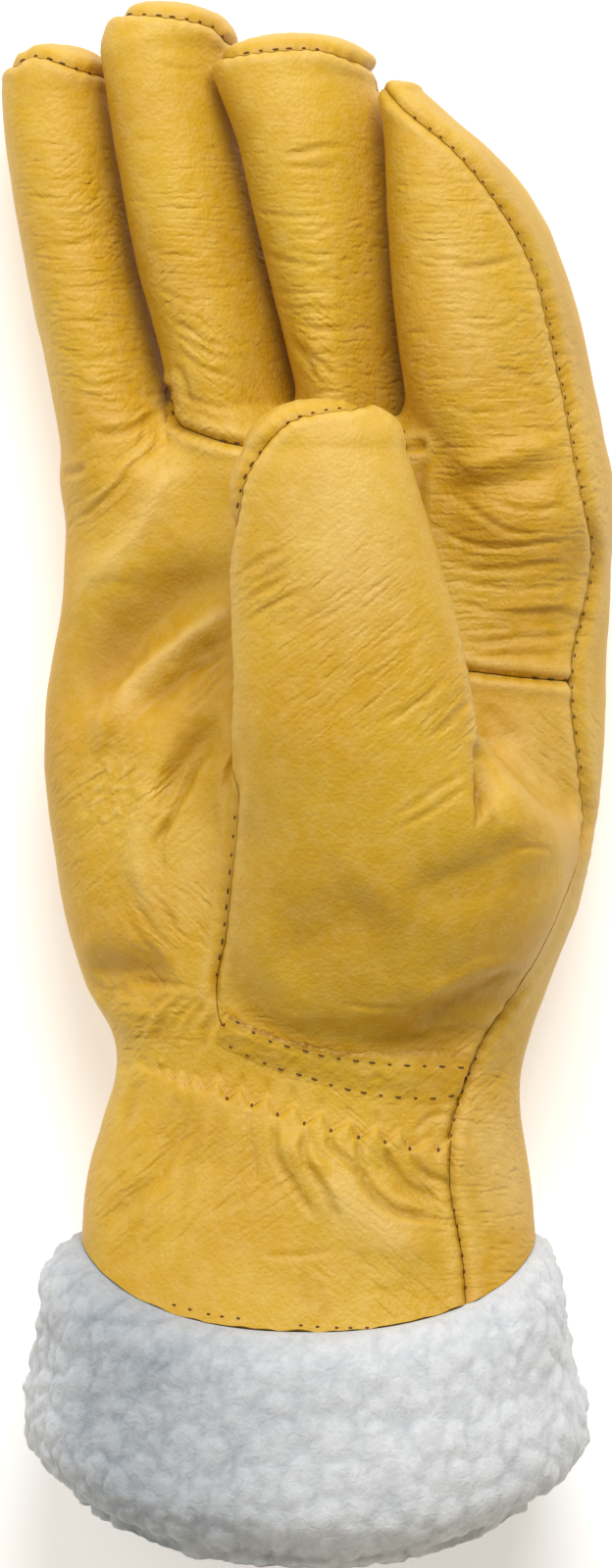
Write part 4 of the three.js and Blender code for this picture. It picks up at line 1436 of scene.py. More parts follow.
@dataclass
class Relief:
    """Everything that raises or sinks the leather from its plain form."""

    seams: Seams
    form: GloveForm
    side_shape: SeamShape = SeamShape(0.9, 0.7, 0.35, 2.0, 0.1)
    tip_shape: SeamShape = SeamShape(0.9, 0.7, 0.45, 1.8, 0.12, 2.6)
    base_shape: SeamShape = SeamShape(0.9, 0.7, 0.55, 1.9, 0.1)
    thumb_shape: SeamShape = SeamShape(0.9, 0.7, 0.45, 1.9, 0.05)
    seam_reach: float = 8.0
    front_heights: tuple[float, float] = (14.0, 22.0)  # the seams fade out between these
    broad_scale: float = 1.25  # the depth of all broad folds, over that in their rows
    sharp_scale: float = 0.7
    sharp_width: float = 1.5  # a crease that is narrower than this is a sharp one, mm
    wrinkle_scale: float = 0.6
    zigzag: Line = (
        (60, 1083), (95, 1087), (120, 1084), (128, 1092), (140, 1085), (156, 1092), (160, 1087),
        (165, 1096), (171, 1089), (176, 1100), (186, 1091), (190, 1107), (199, 1096), (208, 1111),
        (223, 1098), (232, 1119), (246, 1107), (257, 1126), (273, 1115), (283, 1135), (301, 1124),
        (310, 1144), (328, 1132), (337, 1151), (357, 1140), (365, 1158), (385, 1146), (392, 1163),
        (408, 1149), (417, 1170), (439, 1160), (446, 1171), (462, 1158), (490, 1170), (530, 1170),
    )
    drawn_in: float = 0.8  # how deep the leather is sunk above the zigzag
    puff: float = 0.8  # how high it stands below
    drawn_reach: float = 6.0
    puff_reach: float = 8.0
    thread_groove: float = 0.35  # how deep the zigzag's thread is pulled in
    coarse: float = 14.0  # size of the slow unevenness of soft leather, mm
    coarse_height: float = 0.35
    shade_per_depth: float = 0.42  # how much painted shade a millimetre of depth gets
    highlight_per_height: float = 0.6  # how much painted highlight a millimetre of height gets
    pebbled_height: float = 0.45  # the coarse grain at the left of the palm
    pebbled_at: tuple[float, float, float, float] = (-35, -1, 7, 11)  # X, Y and reach along each

    def __post_init__(self) -> None:
        """Measures the zigzag, and reads the creases."""
        self.zigzag_line = SeamLine(tuple(traced(point) for point in self.zigzag))
        self.read_creases, self.read_painted_rows = (
            [Crease.read(row) for row in table.splitlines() if "|" in row]
            for table in (CREASES, LIGHT_AND_SHADE_ROWS)
        )
        self.patches = [Wrinkles.read(row) for row in WRINKLES.split("\n") if row]

    @staticmethod
    def weight(part: Part, share: Array) -> Array | float:
        """How much of a part each point belongs to, from the thumb's share of it."""
        return {Part.HAND: 1 - share, Part.THUMB: share, Part.ALL: 1.0}[part]

    def crease_height(self, points: Array, share: Array) -> tuple[Array, Array]:
        """The heights that creases give, each a rounded trough with a low roll on each side.

        Args:
            points: places on the plain form.
            share: the thumb's share of each.

        Returns:
            The height of the broad folds, and that of the sharp creases.
        """
        made = np.zeros((2, len(points)))
        sway = 0.7 * gradient_noise(points / 7.0, 60) + 0.35 * gradient_noise(points / 2.8, 61)
        for crease in self.read_creases:
            sharp = crease.width < self.sharp_width
            distance, side, window = crease.beside(points, crease.width * 3 + 1)
            near = window > 0
            u = distance[near] * side[near] + min(crease.width, 1.6) * 0.8 * sway[near]
            u = np.abs(u) / (crease.width * (0.85 if sharp else 1.0) * (0.5 + 0.5 * window[near]))
            # a trough as wide as 1, and a roll round 1.8
            section = np.exp(-(u**1.6)) - 0.6 * crease.lip * np.exp(-(((u - 1.8) / 0.8) ** 2))
            section *= 1 - smoothstep(2.4, 3.0, u)
            weight = (self.weight(crease.part, share) * np.ones_like(share))[near]
            made[int(sharp), near] -= crease.depth * window[near] * section * weight
        return made[0] * self.broad_scale, made[1] * self.sharp_scale

    def painted_light_share(self, points: Array, share: Array) -> Array:
        """How much painted shade each point gets, or below 0 how much painted highlight.

        Args:
            points: places on the plain form.
            share: the thumb's share of each.

        Returns:
            One value a point.
        """
        made = np.zeros(len(points))
        for shade_and_highlight in self.read_painted_rows:
            reach = 2.2 * shade_and_highlight.width
            distance, _, window = shade_and_highlight.beside(points, reach)
            spread = np.exp(-((distance / shade_and_highlight.width) ** 2)) * (distance < reach)
            made += shade_and_highlight.depth * window * spread * self.weight(shade_and_highlight.part, share)
        return made

    def wrinkle_height(self, points: Array, share: Array) -> tuple[Array, dict[str, Array]]:
        """The height of the patches of fine creases, and where their directions hold.

        Args:
            points: places on the plain form.
            share: the thumb's share of each.

        Returns:
            One height a point, and the share of each direction at each point.
        """
        made = np.zeros(len(points))
        marks = {name: np.zeros(len(points)) for name in FINE_WAYS}
        for seed, patch in enumerate(self.patches):
            turn = np.radians(patch.angle)
            away = points[:, :2] - (patch.x, patch.y)
            u = away[:, 0] * np.cos(turn) + away[:, 1] * np.sin(turn)
            v = -away[:, 0] * np.sin(turn) + away[:, 1] * np.cos(turn)
            mask = np.exp(-((u / patch.long) ** 2) - (v / patch.wide) ** 2)
            mask = mask * self.weight(patch.part, share)
            near = mask > 0.03
            place = np.stack([u[near], v[near], points[near, 2] * 0.5], axis=1)
            bend = gradient_noise(place / (patch.spacing * 3), seed + 40) * patch.spacing * 1.2
            place[:, 1] += bend
            place /= (patch.spacing * patch.stretch, patch.spacing * 1.15, patch.spacing * 4)
            # the creases lie where the noise, drawn out along the patch, is 0
            crease = np.exp(-np.abs(gradient_noise(place, seed)) / 0.16)
            made[near] -= self.wrinkle_scale * patch.depth * mask[near] * (crease - 0.3)
            name = min(FINE_WAYS, key=lambda way: abs(FINE_WAYS[way] - patch.angle))
            marks[name] = np.maximum(marks[name], np.minimum(1.8 * mask, 1))
        return made, marks

    def seams_height(self, points: Array, share: Array) -> Array:
        """The height that all the seams give.

        Args:
            points: places on the plain form.
            share: the thumb's share of each.

        Returns:
            One height a point.
        """
        made = np.zeros(len(points))
        x, y, z = points.T
        hand = 1 - share
        uneven = np.clip(1 + 1.6 * gradient_noise(points / 7.0, 33), 0, 2)
        zones = self.seams.zones(points)
        inside = smoothstep(-1.2, 0.4, self.seams.front_outline.at(points))
        for seam, shape, weight in (
            (self.seams.side, self.side_shape, hand),
            (self.seams.bases["ring_middle"], self.base_shape, hand),
            (self.seams.bases["index"], self.base_shape, hand * inside * smoothstep(26, 31, x)),
            (self.seams.thumb_tip, self.tip_shape, share * smoothstep(4, 12, y)),
            (self.seams.thenar, self.thumb_shape, smoothstep(-44, -38, y) * smoothstep(-3, 4, -y)),
            *(
                (seam, self.tip_shape, hand * smoothstep(-0.4, 1.2, zones[name]))
                for name, seam in self.seams.tips.items()
            ),
        ):
            offset, along = seam.at(points)
            near = np.abs(offset) < self.seam_reach
            front = smoothstep(*self.front_heights, z[near])
            height = shape.height(offset[near], along[near], uneven[near])
            made[near] += height * weight[near] * front
        return made

    def gather_height(self, points: Array) -> Array:
        """The leather sunk above the elastic's zigzag, and puffed up between its points below.

        Args:
            points: places on the plain form.

        Returns:
            One height a point.
        """
        offset, _ = self.zigzag_line.at(points)
        x = points[:, 0]
        strength = (0.35 + 0.65 * smoothstep(-34, -14, x)) * (1 - smoothstep(27, 33, x))
        uneven = 1 + 0.5 * gradient_noise(points / (5.0, 9.0, 20.0), 72)
        below = -np.minimum(offset, 0)
        above = np.maximum(offset, 0)
        sunk = smoothstep(-0.3, 0.3, offset) * np.exp(-((above / self.drawn_reach) ** 2))
        puffed = (1 - np.exp(-below / 0.9)) * np.exp(-((below / self.puff_reach) ** 2)) * uneven
        thread = self.thread_groove * np.exp(-((offset / 0.5) ** 2))
        return strength * (self.puff * puffed - self.drawn_in * sunk - thread)

    def height(self, points: Array, normals: Array) -> tuple[Array, dict[str, Array]]:
        """The whole height at points of the plain form, and the marks for its material.

        Args:
            points: places on the plain form.
            normals: its normals there.

        Returns:
            Millimetres outwards along the normal, and one value a point for each mark.
        """
        share = self.form.thumb_share(points)
        facing = smoothstep(-0.1, 0.55, normals[:, 2])
        broad, sharp = self.crease_height(points, share)
        wrinkled, marks = self.wrinkle_height(points, share)
        fine = (sharp + wrinkled) * facing + self.seams_height(points, share)
        made = broad * facing + fine + self.gather_height(points) * (1 - share) * facing
        made += self.coarse_height * gradient_noise(points / self.coarse, 90)
        made += 0.35 * self.coarse_height * gradient_noise(points / (self.coarse * 0.4), 91)
        x, y, z = points.T
        kept = smoothstep(0.6, 4.0, z)
        for cleft in CLEFTS.values():
            apart = np.abs(cleft.offset((x, y, z))) + 3 * smoothstep(0, 6, -cleft.above_crotch(y))
            kept = kept * smoothstep(0.2, 2.6, apart)
        marks = {name: mark * facing for name, mark in marks.items()}
        # painted shade in the folds and on the fingers' sides, painted highlight on ridges and full
        # parts
        shade_and_highlight = self.painted_light_share(points, share) * facing
        # painted shade: darker where creases sink the leather, along the painted-shade rows and in
        # the broad folds
        marks["hollow"] = np.clip(-fine * self.shade_per_depth - 0.03, 0, 0.5) * kept
        marks["hollow"] += np.maximum(shade_and_highlight, 0)
        marks["hollow"] += np.clip(-broad * 0.04, 0, 0.12) * facing
        # painted highlight: paler where creases raise the leather, and along the painted-highlight
        # rows
        marks["painted_highlight"] = np.clip(fine * self.highlight_per_height, 0, 0.4) + np.maximum(-shade_and_highlight, 0)
        at_x, at_y, wide, high = self.pebbled_at
        pebbled = np.exp(-(((x - at_x) / wide) ** 2) - ((y - at_y) / high) ** 2)
        pebbled *= facing * (1 - share) * gradient_noise(points / (1.5, 1.2, 20.0), 61)
        made += self.pebbled_height * pebbled
        # painted highlight on the tops of the pebbles
        marks["painted_highlight"] += np.clip(1.6 * pebbled - 0.1, 0, 0.6)
        return made * kept, marks


def linear(colour: str) -> tuple[float, float, float, float]:
    """Turns an sRGB colour to linear.

    Args:
        colour: its hex value.

    Returns:
        The colour that a shader takes.
    """
    parts = [int(colour[i : i + 2], 16) / 255 for i in (1, 3, 5)]
    made = [c / 12.92 if c <= 0.04045 else ((c + 0.055) / 1.055) ** 2.4 for c in parts]
    return (*made, 1.0)


class Shading:
    """The nodes of a material, or of the air round the glove."""

    def __init__(self, owner: bpy.types.Material | bpy.types.World) -> None:
        """Empties the owner's tree.

        Args:
            owner: the material or the air.
        """
        owner.use_nodes = True
        self.tree = owner.node_tree
        self.tree.nodes.clear()

    def add(
        self,
        kind: str,
        inputs: dict[str | int, object] | None = None,
        out: str | int = 0,
        **settings: object,
    ) -> bpy.types.NodeSocket | None:
        """Adds a node with its settings and links.

        Args:
            kind: the node's type, without the word that all types begin with.
            inputs: a value, or a socket to link from, for each input by name or number.
            out: the output that is wanted.
            settings: the node's own properties.

        Returns:
            That output, or None where the node has none.
        """
        node = self.tree.nodes.new(f"ShaderNode{kind}")
        for key, value in settings.items():
            setattr(node, key, value)
        for key, value in (inputs or {}).items():
            if isinstance(value, bpy.types.NodeSocket):
                self.tree.links.new(value, node.inputs[key])
            else:
                node.inputs[key].default_value = value
        return node.outputs[out] if node.outputs else None


class Finish:
    """What a piece is made of: a material with its name and its own nodes."""

    name: str

    def inputs(self, tree: Shading, mm: bpy.types.NodeSocket) -> dict[str, object]:
        """What the finish gives its shader, from its own nodes."""
        raise NotImplementedError

    def build(self) -> bpy.types.Material:
        """Makes the material, with places in millimetres for its patterns.

        Returns:
            The material.
        """
        material = bpy.data.materials.new(self.name)
        tree = Shading(material)
        place = tree.add("TexCoord", out="Object")
        mm = tree.add("VectorMath", {0: place, 1: (1 / MM,) * 3}, operation="MULTIPLY")
        shader = tree.add("BsdfPrincipled", self.inputs(tree, mm))
        tree.add("OutputMaterial", {"Surface": shader})
        return material


@dataclass(frozen=True)
class GrainLeather(Finish):
    """Drum-dyed full-grain cowhide, milled soft: a fine pebble, soft satin sheen, painted shade in
    its creases.
    """

    name: str = "milled_grain_cowhide"
    colour: str = "#cba226"
    deep: str = "#be8a08"
    # colour of the worn specks and of the painted highlight
    pale: str = "#e6c983"
    # colour of the painted shade in creases and folds, and of the pores
    crease: str = "#936400"
    roughness: float = 0.5
    ior: float = 1.42
    pebble: float = 0.8  # width of a grain cell, mm
    pebble_height: float = 0.14
    pebble_warp: float = 0.9  # how far the cells are pushed out of line, mm
    pore: float = 0.36  # spacing of the follicles, mm, about twice the real one so that they show
    stain: float = 30.0  # width of the slow changes of the dye, mm
    mottle: float = 3.2  # width of the worn specks, mm
    fine_crease: float = 1.25  # spacing of the finest creases, mm
    fine_height: float = 0.65

    def inputs(self, tree: Shading, mm: bpy.types.NodeSocket) -> dict[str, object]:
        """What the leather gives its shader.

        Args:
            tree: takes the nodes.
            mm: the place on the piece, in millimetres.

        Returns:
            A value or socket for each input.
        """
        dye = {"Vector": mm, "Scale": 1 / self.stain, "Detail": 3.0}
        dye = tree.add("TexNoise", dye, "Fac")
        specks = {"Vector": mm, "Scale": 1 / self.mottle, "Detail": 5.0, "Roughness": 0.65}
        specks = tree.add("TexNoise", specks, "Fac")
        pores = tree.add("TexVoronoi", {"Vector": mm, "Scale": 1 / self.pore}, "Distance")
        dyed, wear_and_highlight, pitted = (
            tree.add("MapRange", dict(enumerate(values)))
            for values in (
                (dye, 0.38, 0.62, 0.5, 0.0), (specks, 0.42, 0.72, 0.0, 0.22),
                (pores, 0.05, 0.32, 0.14, 0.0),
            )
        )
        # painted highlight on ridges, added to the real worn specks
        painted_highlight = tree.add("Attribute", out="Fac", attribute_name="painted_highlight")
        wear_and_highlight = tree.add("Math", {0: painted_highlight, 1: 0.6, 2: wear_and_highlight}, operation="MULTIPLY_ADD")
        # painted shade in creases and folds, and the raw edge's darker colour on the strip
        hollow = tree.add("Attribute", out="Fac", attribute_name="hollow")
        base = linear(self.colour)
        for share, colour in (
            (dyed, self.deep), (wear_and_highlight, self.pale), (hollow, self.crease), (pitted, self.crease)
        ):
            both = {"Factor": share, "A": base, "B": linear(colour)}
            base = tree.add("Mix", both, "Result", data_type="RGBA")
        warp = tree.add("TexNoise", {"Vector": mm, "Scale": 0.8, "Detail": 2.0}, "Color")
        bent = {0: warp, 1: (self.pebble_warp,) * 3, 2: mm}
        bent = tree.add("VectorMath", bent, operation="MULTIPLY_ADD")
        cells = {"Vector": bent, "Scale": 1 / self.pebble, "Smoothness": 0.6}
        cells = tree.add("TexVoronoi", cells, "Distance", feature="SMOOTH_F1")
        cells = {"Height": cells, "Strength": 0.8, "Distance": self.pebble_height * MM}
        surface = tree.add("Bump", cells, invert=True)
        for name, degrees in FINE_WAYS.items():
            turn = (0.0, 0.0, float(np.radians(degrees)))
            turned = {"Vector": bent, "Rotation": turn, "Scale": (7.0, 1.0, 2.5)}
            turned = tree.add("Mapping", turned, vector_type="TEXTURE")
            crease = {"Vector": turned, "Scale": 1 / self.fine_crease, "Detail": 3.0}
            crease = tree.add("TexNoise", crease, "Fac", noise_type="RIDGED_MULTIFRACTAL")
            mark = tree.add("Attribute", out="Fac", attribute_name=name)
            height = tree.add("Math", {0: crease, 1: mark}, operation="MULTIPLY")
            height = {"Height": height, "Strength": 0.7, "Distance": self.fine_height * MM}
            surface = tree.add("Bump", {**height, "Normal": surface}, invert=True)
        gloss = (specks, 0.3, 0.7, self.roughness - 0.06, self.roughness + 0.08)
        gloss = tree.add("MapRange", dict(enumerate(gloss)))
        return {"Base Color": base, "Roughness": gloss, "IOR": self.ior, "Normal": surface}


@dataclass(frozen=True)
class WaxedThread(Finish):
    """Twisted, waxed sewing thread: dark, dull, with the slant of its strands just showing."""

    name: str
    colour: str
    strand: float = 0.35  # spacing of the strands along the thread, mm

    def inputs(self, tree: Shading, mm: bpy.types.NodeSocket) -> dict[str, object]:
        """What the thread gives its shader.

        Args:
            tree: takes the nodes.
            mm: the place on the piece, in millimetres.

        Returns:
            A value or socket for each input.
        """
        twist = {"Vector": mm, "Scale": 0.3 / self.strand, "Distortion": 1.0}
        twist = tree.add("TexWave", twist, "Fac", bands_direction="DIAGONAL")
        surface = tree.add("Bump", {"Height": twist, "Strength": 0.5, "Distance": 0.08 * MM})
        return {"Base Color": linear(self.colour), "Roughness": 0.62, "Normal": surface}


@dataclass(frozen=True)
class PileFleece(Finish):
    """Knitted sherpa pile, washed so that it curls: matt, soft-edged clumps of fine fibre."""

    name: str = "sherpa_pile_fleece"
    colour: str = "#d4d8dc"
    # colour of the painted shade between the clumps and on the band's left
    shade: str = "#727e8a"
    curl: float = 1.6  # width of a curl of fibre, mm
    fibre: float = 0.32  # mm, coarser than the real fibre so that it shows

    def inputs(self, tree: Shading, mm: bpy.types.NodeSocket) -> dict[str, object]:
        """What the pile gives its shader.

        Args:
            tree: takes the nodes.
            mm: the place on the piece, in millimetres.

        Returns:
            A value or socket for each input.
        """
        curls = {"Vector": mm, "Scale": 1 / self.curl, "Detail": 4.0, "Distortion": 1.2}
        curls = tree.add("TexNoise", curls, "Fac")
        fibres = {"Vector": mm, "Scale": 1 / self.fibre, "Detail": 2.0, "Distortion": 2.0}
        fibres = tree.add("TexNoise", fibres, "Fac")
        dark = tree.add("MapRange", dict(enumerate((curls, 0.3, 0.6, 0.14, 0.0))))
        # painted shade from the cuff's marks, added to the darker parts of the curls
        hollow = tree.add("Attribute", out="Fac", attribute_name="hollow")
        dark = tree.add("Math", {0: hollow, 1: dark}, operation="ADD", use_clamp=True)
        both = {"Factor": dark, "A": linear(self.colour), "B": linear(self.shade)}
        surface = tree.add("Bump", {"Height": curls, "Strength": 0.7, "Distance": 0.4 * MM})
        fine = {"Height": fibres, "Strength": 0.5, "Distance": 0.16 * MM, "Normal": surface}
        return {
            "Base Color": tree.add("Mix", both, "Result", data_type="RGBA"),
            "Roughness": 0.95,
            "Normal": tree.add("Bump", fine),
            "Sheen Weight": 0.4,
            "Sheen Roughness": 0.5,
            "Sheen Tint": (1.0, 1.0, 1.0, 1.0),
        }


@dataclass(frozen=True)
class MattPaper(Finish):
    """Uncoated white background paper, lit a little from behind: plain, with no shine."""

    name: str = "matt_white_paper"
    colour: str = "#f6f6f6"
    glow: float = 0.3

    def inputs(self, tree: Shading, mm: bpy.types.NodeSocket) -> dict[str, object]:
        """What the paper gives its shader.

        Args:
            tree: takes the nodes.
            mm: the place on the piece, in millimetres.

        Returns:
            A value or socket for each input.
        """
        lit = {"Emission Color": linear("#ffffff"), "Emission Strength": self.glow}
        return {"Base Color": linear(self.colour), "Roughness": 0.9, **lit}


@dataclass
class LeatherPanels:
    """The six sewn panels of grain leather, each a thin shell with turned edges at its seams."""

    form: GloveForm
    seams: Seams
    relief: Relief
    step: float = 0.58  # spacing of the grid over the front
    back_step: float = 0.86
    inner_step: float = 2.2
    low: tuple[float, float] = (-61, -107)  # the box that the skins are taken from
    high: tuple[float, float, float] = (60, 150, 79)
    front_from: float = 11.0  # the lowest height of the front's own skin
    back_from: float = -3.0
    thickness: float = 2.0
    gap: float = 0.1  # half the gap between two panels
    hem_wave: float = 0.5
    nodes: dict[str, str] = field(default_factory=lambda: {
        "palm": "palm_panel",
        "ring_middle": "ring_middle_front",
        "index": "index_front",
        "thumb_front": "thumb_front",
        "thumb_back": "thumb_back",
        "back": "back_panel",
    })

    def hem(self, points: Array) -> Array:
        """How far points lie above the hem.

        Args:
            points: places on the form.

        Returns:
            One distance a point, negative past the hem.
        """
        wavy = self.hem_wave * gradient_noise(points / (3.6, 60.0, 9.0), 52)
        return self.form.slanted(points.T) - self.form.HEM_Y + wavy

    def dressed(self, skin: Skin) -> tuple[Skin, dict[str, Array]]:
        """The skin with its relief, and the marks that the leather's material reads."""
        height, marks = self.relief.height(skin.points, skin.normals)
        return Skin(skin.points + skin.normals * height[:, None], skin.normals, skin.faces), marks

    def skin(self, form: GloveForm, low_z: float, step: float) -> Skin:
        """The skin of a form above a height, down to the hem.

        Args:
            form: the form.
            low_z: the lowest height that is wanted.
            step: the spacing of its points.

        Returns:
            The skin.
        """
        made = formed_skin(form, SurfaceGrid((*self.low, low_z), self.high, step))
        LOG.info("skin at %.2f mm: %d points", step, len(made.points))
        return made.clipped(self.hem(made.points), 0.02)

    def build(self) -> tuple[dict[str, bpy.types.Object], list[Skin]]:
        """Makes the panels.

        Returns:
            The panels by name, and their dressed outer skins, for thread to be laid on.
        """
        front = self.skin(self.form, self.front_from, self.step)
        back = self.skin(self.form, self.back_from, self.back_step)
        inner = self.skin(GloveForm(self.thickness), self.back_from, self.inner_step)
        made, outers = {}, []
        front_regions, back_regions = (self.seams.regions(skin.points) for skin in (front, back))
        over = inner.points + inner.normals * self.thickness
        inner_regions = self.seams.regions(over)
        height = np.minimum(self.relief.height(over, inner.normals)[0], 0)
        sunk = Skin(inner.points + inner.normals * height[:, None], inner.normals, inner.faces)
        for name in self.nodes:
            skin, regions = (back, back_regions) if name == "back" else (front, front_regions)
            outer, marks = self.dressed(skin.clipped(regions[name] - self.gap, 0.03))
            inside = sunk.clipped(inner_regions[name] - self.gap, 0.05).turned()
            whole = outer.joined(outer.rim(self.thickness)).joined(inside)
            made[name] = whole.to_object(f"{name}_leather", marks)
            outers.append(outer)
        return made, outers


@dataclass
class Ground:
    """Finished surfaces that thread and strips are laid on, from above."""

    skins: list[Skin]

    def __post_init__(self) -> None:
        """Prepares the surfaces for finding heights."""
        points: list[tuple[float, ...]] = []
        faces: list[tuple[int, ...]] = []
        for skin in self.skins:
            start = len(points)
            points += [tuple(p) for p in skin.points.tolist()]
            faces += [tuple(i + start for i in f if i >= 0) for f in skin.faces.tolist()]
        self.tree = BVHTree.FromPolygons(points, faces)

    def drop(self, x: float, y: float) -> tuple[Vector, Vector] | None:
        """The highest place at X and Y with its normal, or None where there is nothing."""
        place, normal, _, _ = self.tree.ray_cast(Vector((x, y, 200)), Vector((0, 0, -1)))
        return None if place is None else (place, normal)


@dataclass
class Threads:
    """Stitches gathered into one object."""

    name: str
    points: list[Vector] = field(default_factory=list)
    faces: list[tuple[int, ...]] = field(default_factory=list)

    SIDES = 6
    JITTER = 0.12  # how far a stitch starts off its place, as a share of the pitch
    STEEPEST = 3.0  # a stitch that would span more height than this is left out, mm
    SHARES = (0.0, 0.3, 0.7, 1.0)  # the places along a stitch that are laid on the leather
    LIFTS = (-0.6, 0.45, 0.45, -0.6)  # how high it stands at each of them, over its radius
    END, END_SIZE = 0.7, 0.45  # how far its rounded ends reach, and their size, over its radius

    def lay(self, path: list[Vector], up: Vector, radius: float) -> None:
        """Lays one stitch with rounded ends.

        Args:
            path: the middle of the thread.
            up: away from the leather.
            radius: the thread's radius.
        """
        first, last = path[0], path[-1]
        start, end = (path[1] - first).normalized(), (last - path[-2]).normalized()
        centres = [first - start * radius * self.END, *path, last + end * radius * self.END]
        sizes = [self.END_SIZE, *([1.0] * len(path)), self.END_SIZE]
        base = len(self.points)
        for i, (centre, size) in enumerate(zip(centres, sizes)):
            way = (centres[min(i + 1, len(centres) - 1)] - centres[max(i - 1, 0)]).normalized()
            across = way.cross(up).normalized()
            high = across.cross(way)
            for k in range(self.SIDES):
                turn = 2 * np.pi * k / self.SIDES
                away = across * float(np.cos(turn)) + high * float(np.sin(turn))
                self.points.append(centre + away * radius * size)
        for i in range(len(centres) - 1):
            for k in range(self.SIDES):
                a = base + i * self.SIDES + k
                b = base + i * self.SIDES + (k + 1) % self.SIDES
                self.faces.append((a, b, b + self.SIDES, a + self.SIDES))
        self.faces.append(tuple(base + k for k in reversed(range(self.SIDES))))
        top = base + (len(centres) - 1) * self.SIDES
        self.faces.append(tuple(top + k for k in range(self.SIDES)))

    def stitch(self, ground: Ground, a: Array, b: Array, radius: float, proud: float) -> None:
        """Lays one stitch over the ground below it.

        Args:
            ground: what it lies on.
            a: where it starts in the plan.
            b: where it ends.
            radius: the thread's radius.
            proud: how far it is raised, over its radius.
        """
        places = [ground.drop(*(a + (b - a) * t)) for t in self.SHARES]
        if any(place is None for place in places):
            return
        heights = [place[0].z for place in places]
        if max(heights) - min(heights) > self.STEEPEST:
            return
        up = (places[1][1] + places[2][1]).normalized()
        path = [place[0] + up * radius * (lift + proud) for place, lift in zip(places, self.LIFTS)]
        self.lay(path, up, radius)

    def run(self, ground: Ground, line: Array, pitch: float, length: float, radius: float) -> None:
        """Lays a row of stitches.

        Args:
            ground: what they lie on.
            line: the row's line in the plan, with a point each half millimetre.
            pitch: from the start of one stitch to the next.
            length: a stitch's length.
            radius: the thread's radius.
        """
        skip = 0.5  # the spacing of the line's points
        for number, start in enumerate(np.arange(pitch / 2, len(line) * skip - length, pitch)):
            start += self.JITTER * pitch * np.sin(number * 12.9898)  # another for each stitch
            i, j = (min(int(at / skip), len(line) - 1) for at in (start, start + length))
            if j > i:
                self.stitch(ground, line[i], line[j], radius, 0.0)

    def build(self) -> bpy.types.Object:
        """Makes one object.

        Returns:
            The object of all the stitches.
        """
        mesh = bpy.data.meshes.new(self.name)
        mesh.from_pydata([p * MM for p in self.points], [], self.faces)
        mesh.polygons.foreach_set("use_smooth", np.ones(len(mesh.polygons), bool))
        mesh.update()
        return placed(self.name, mesh)


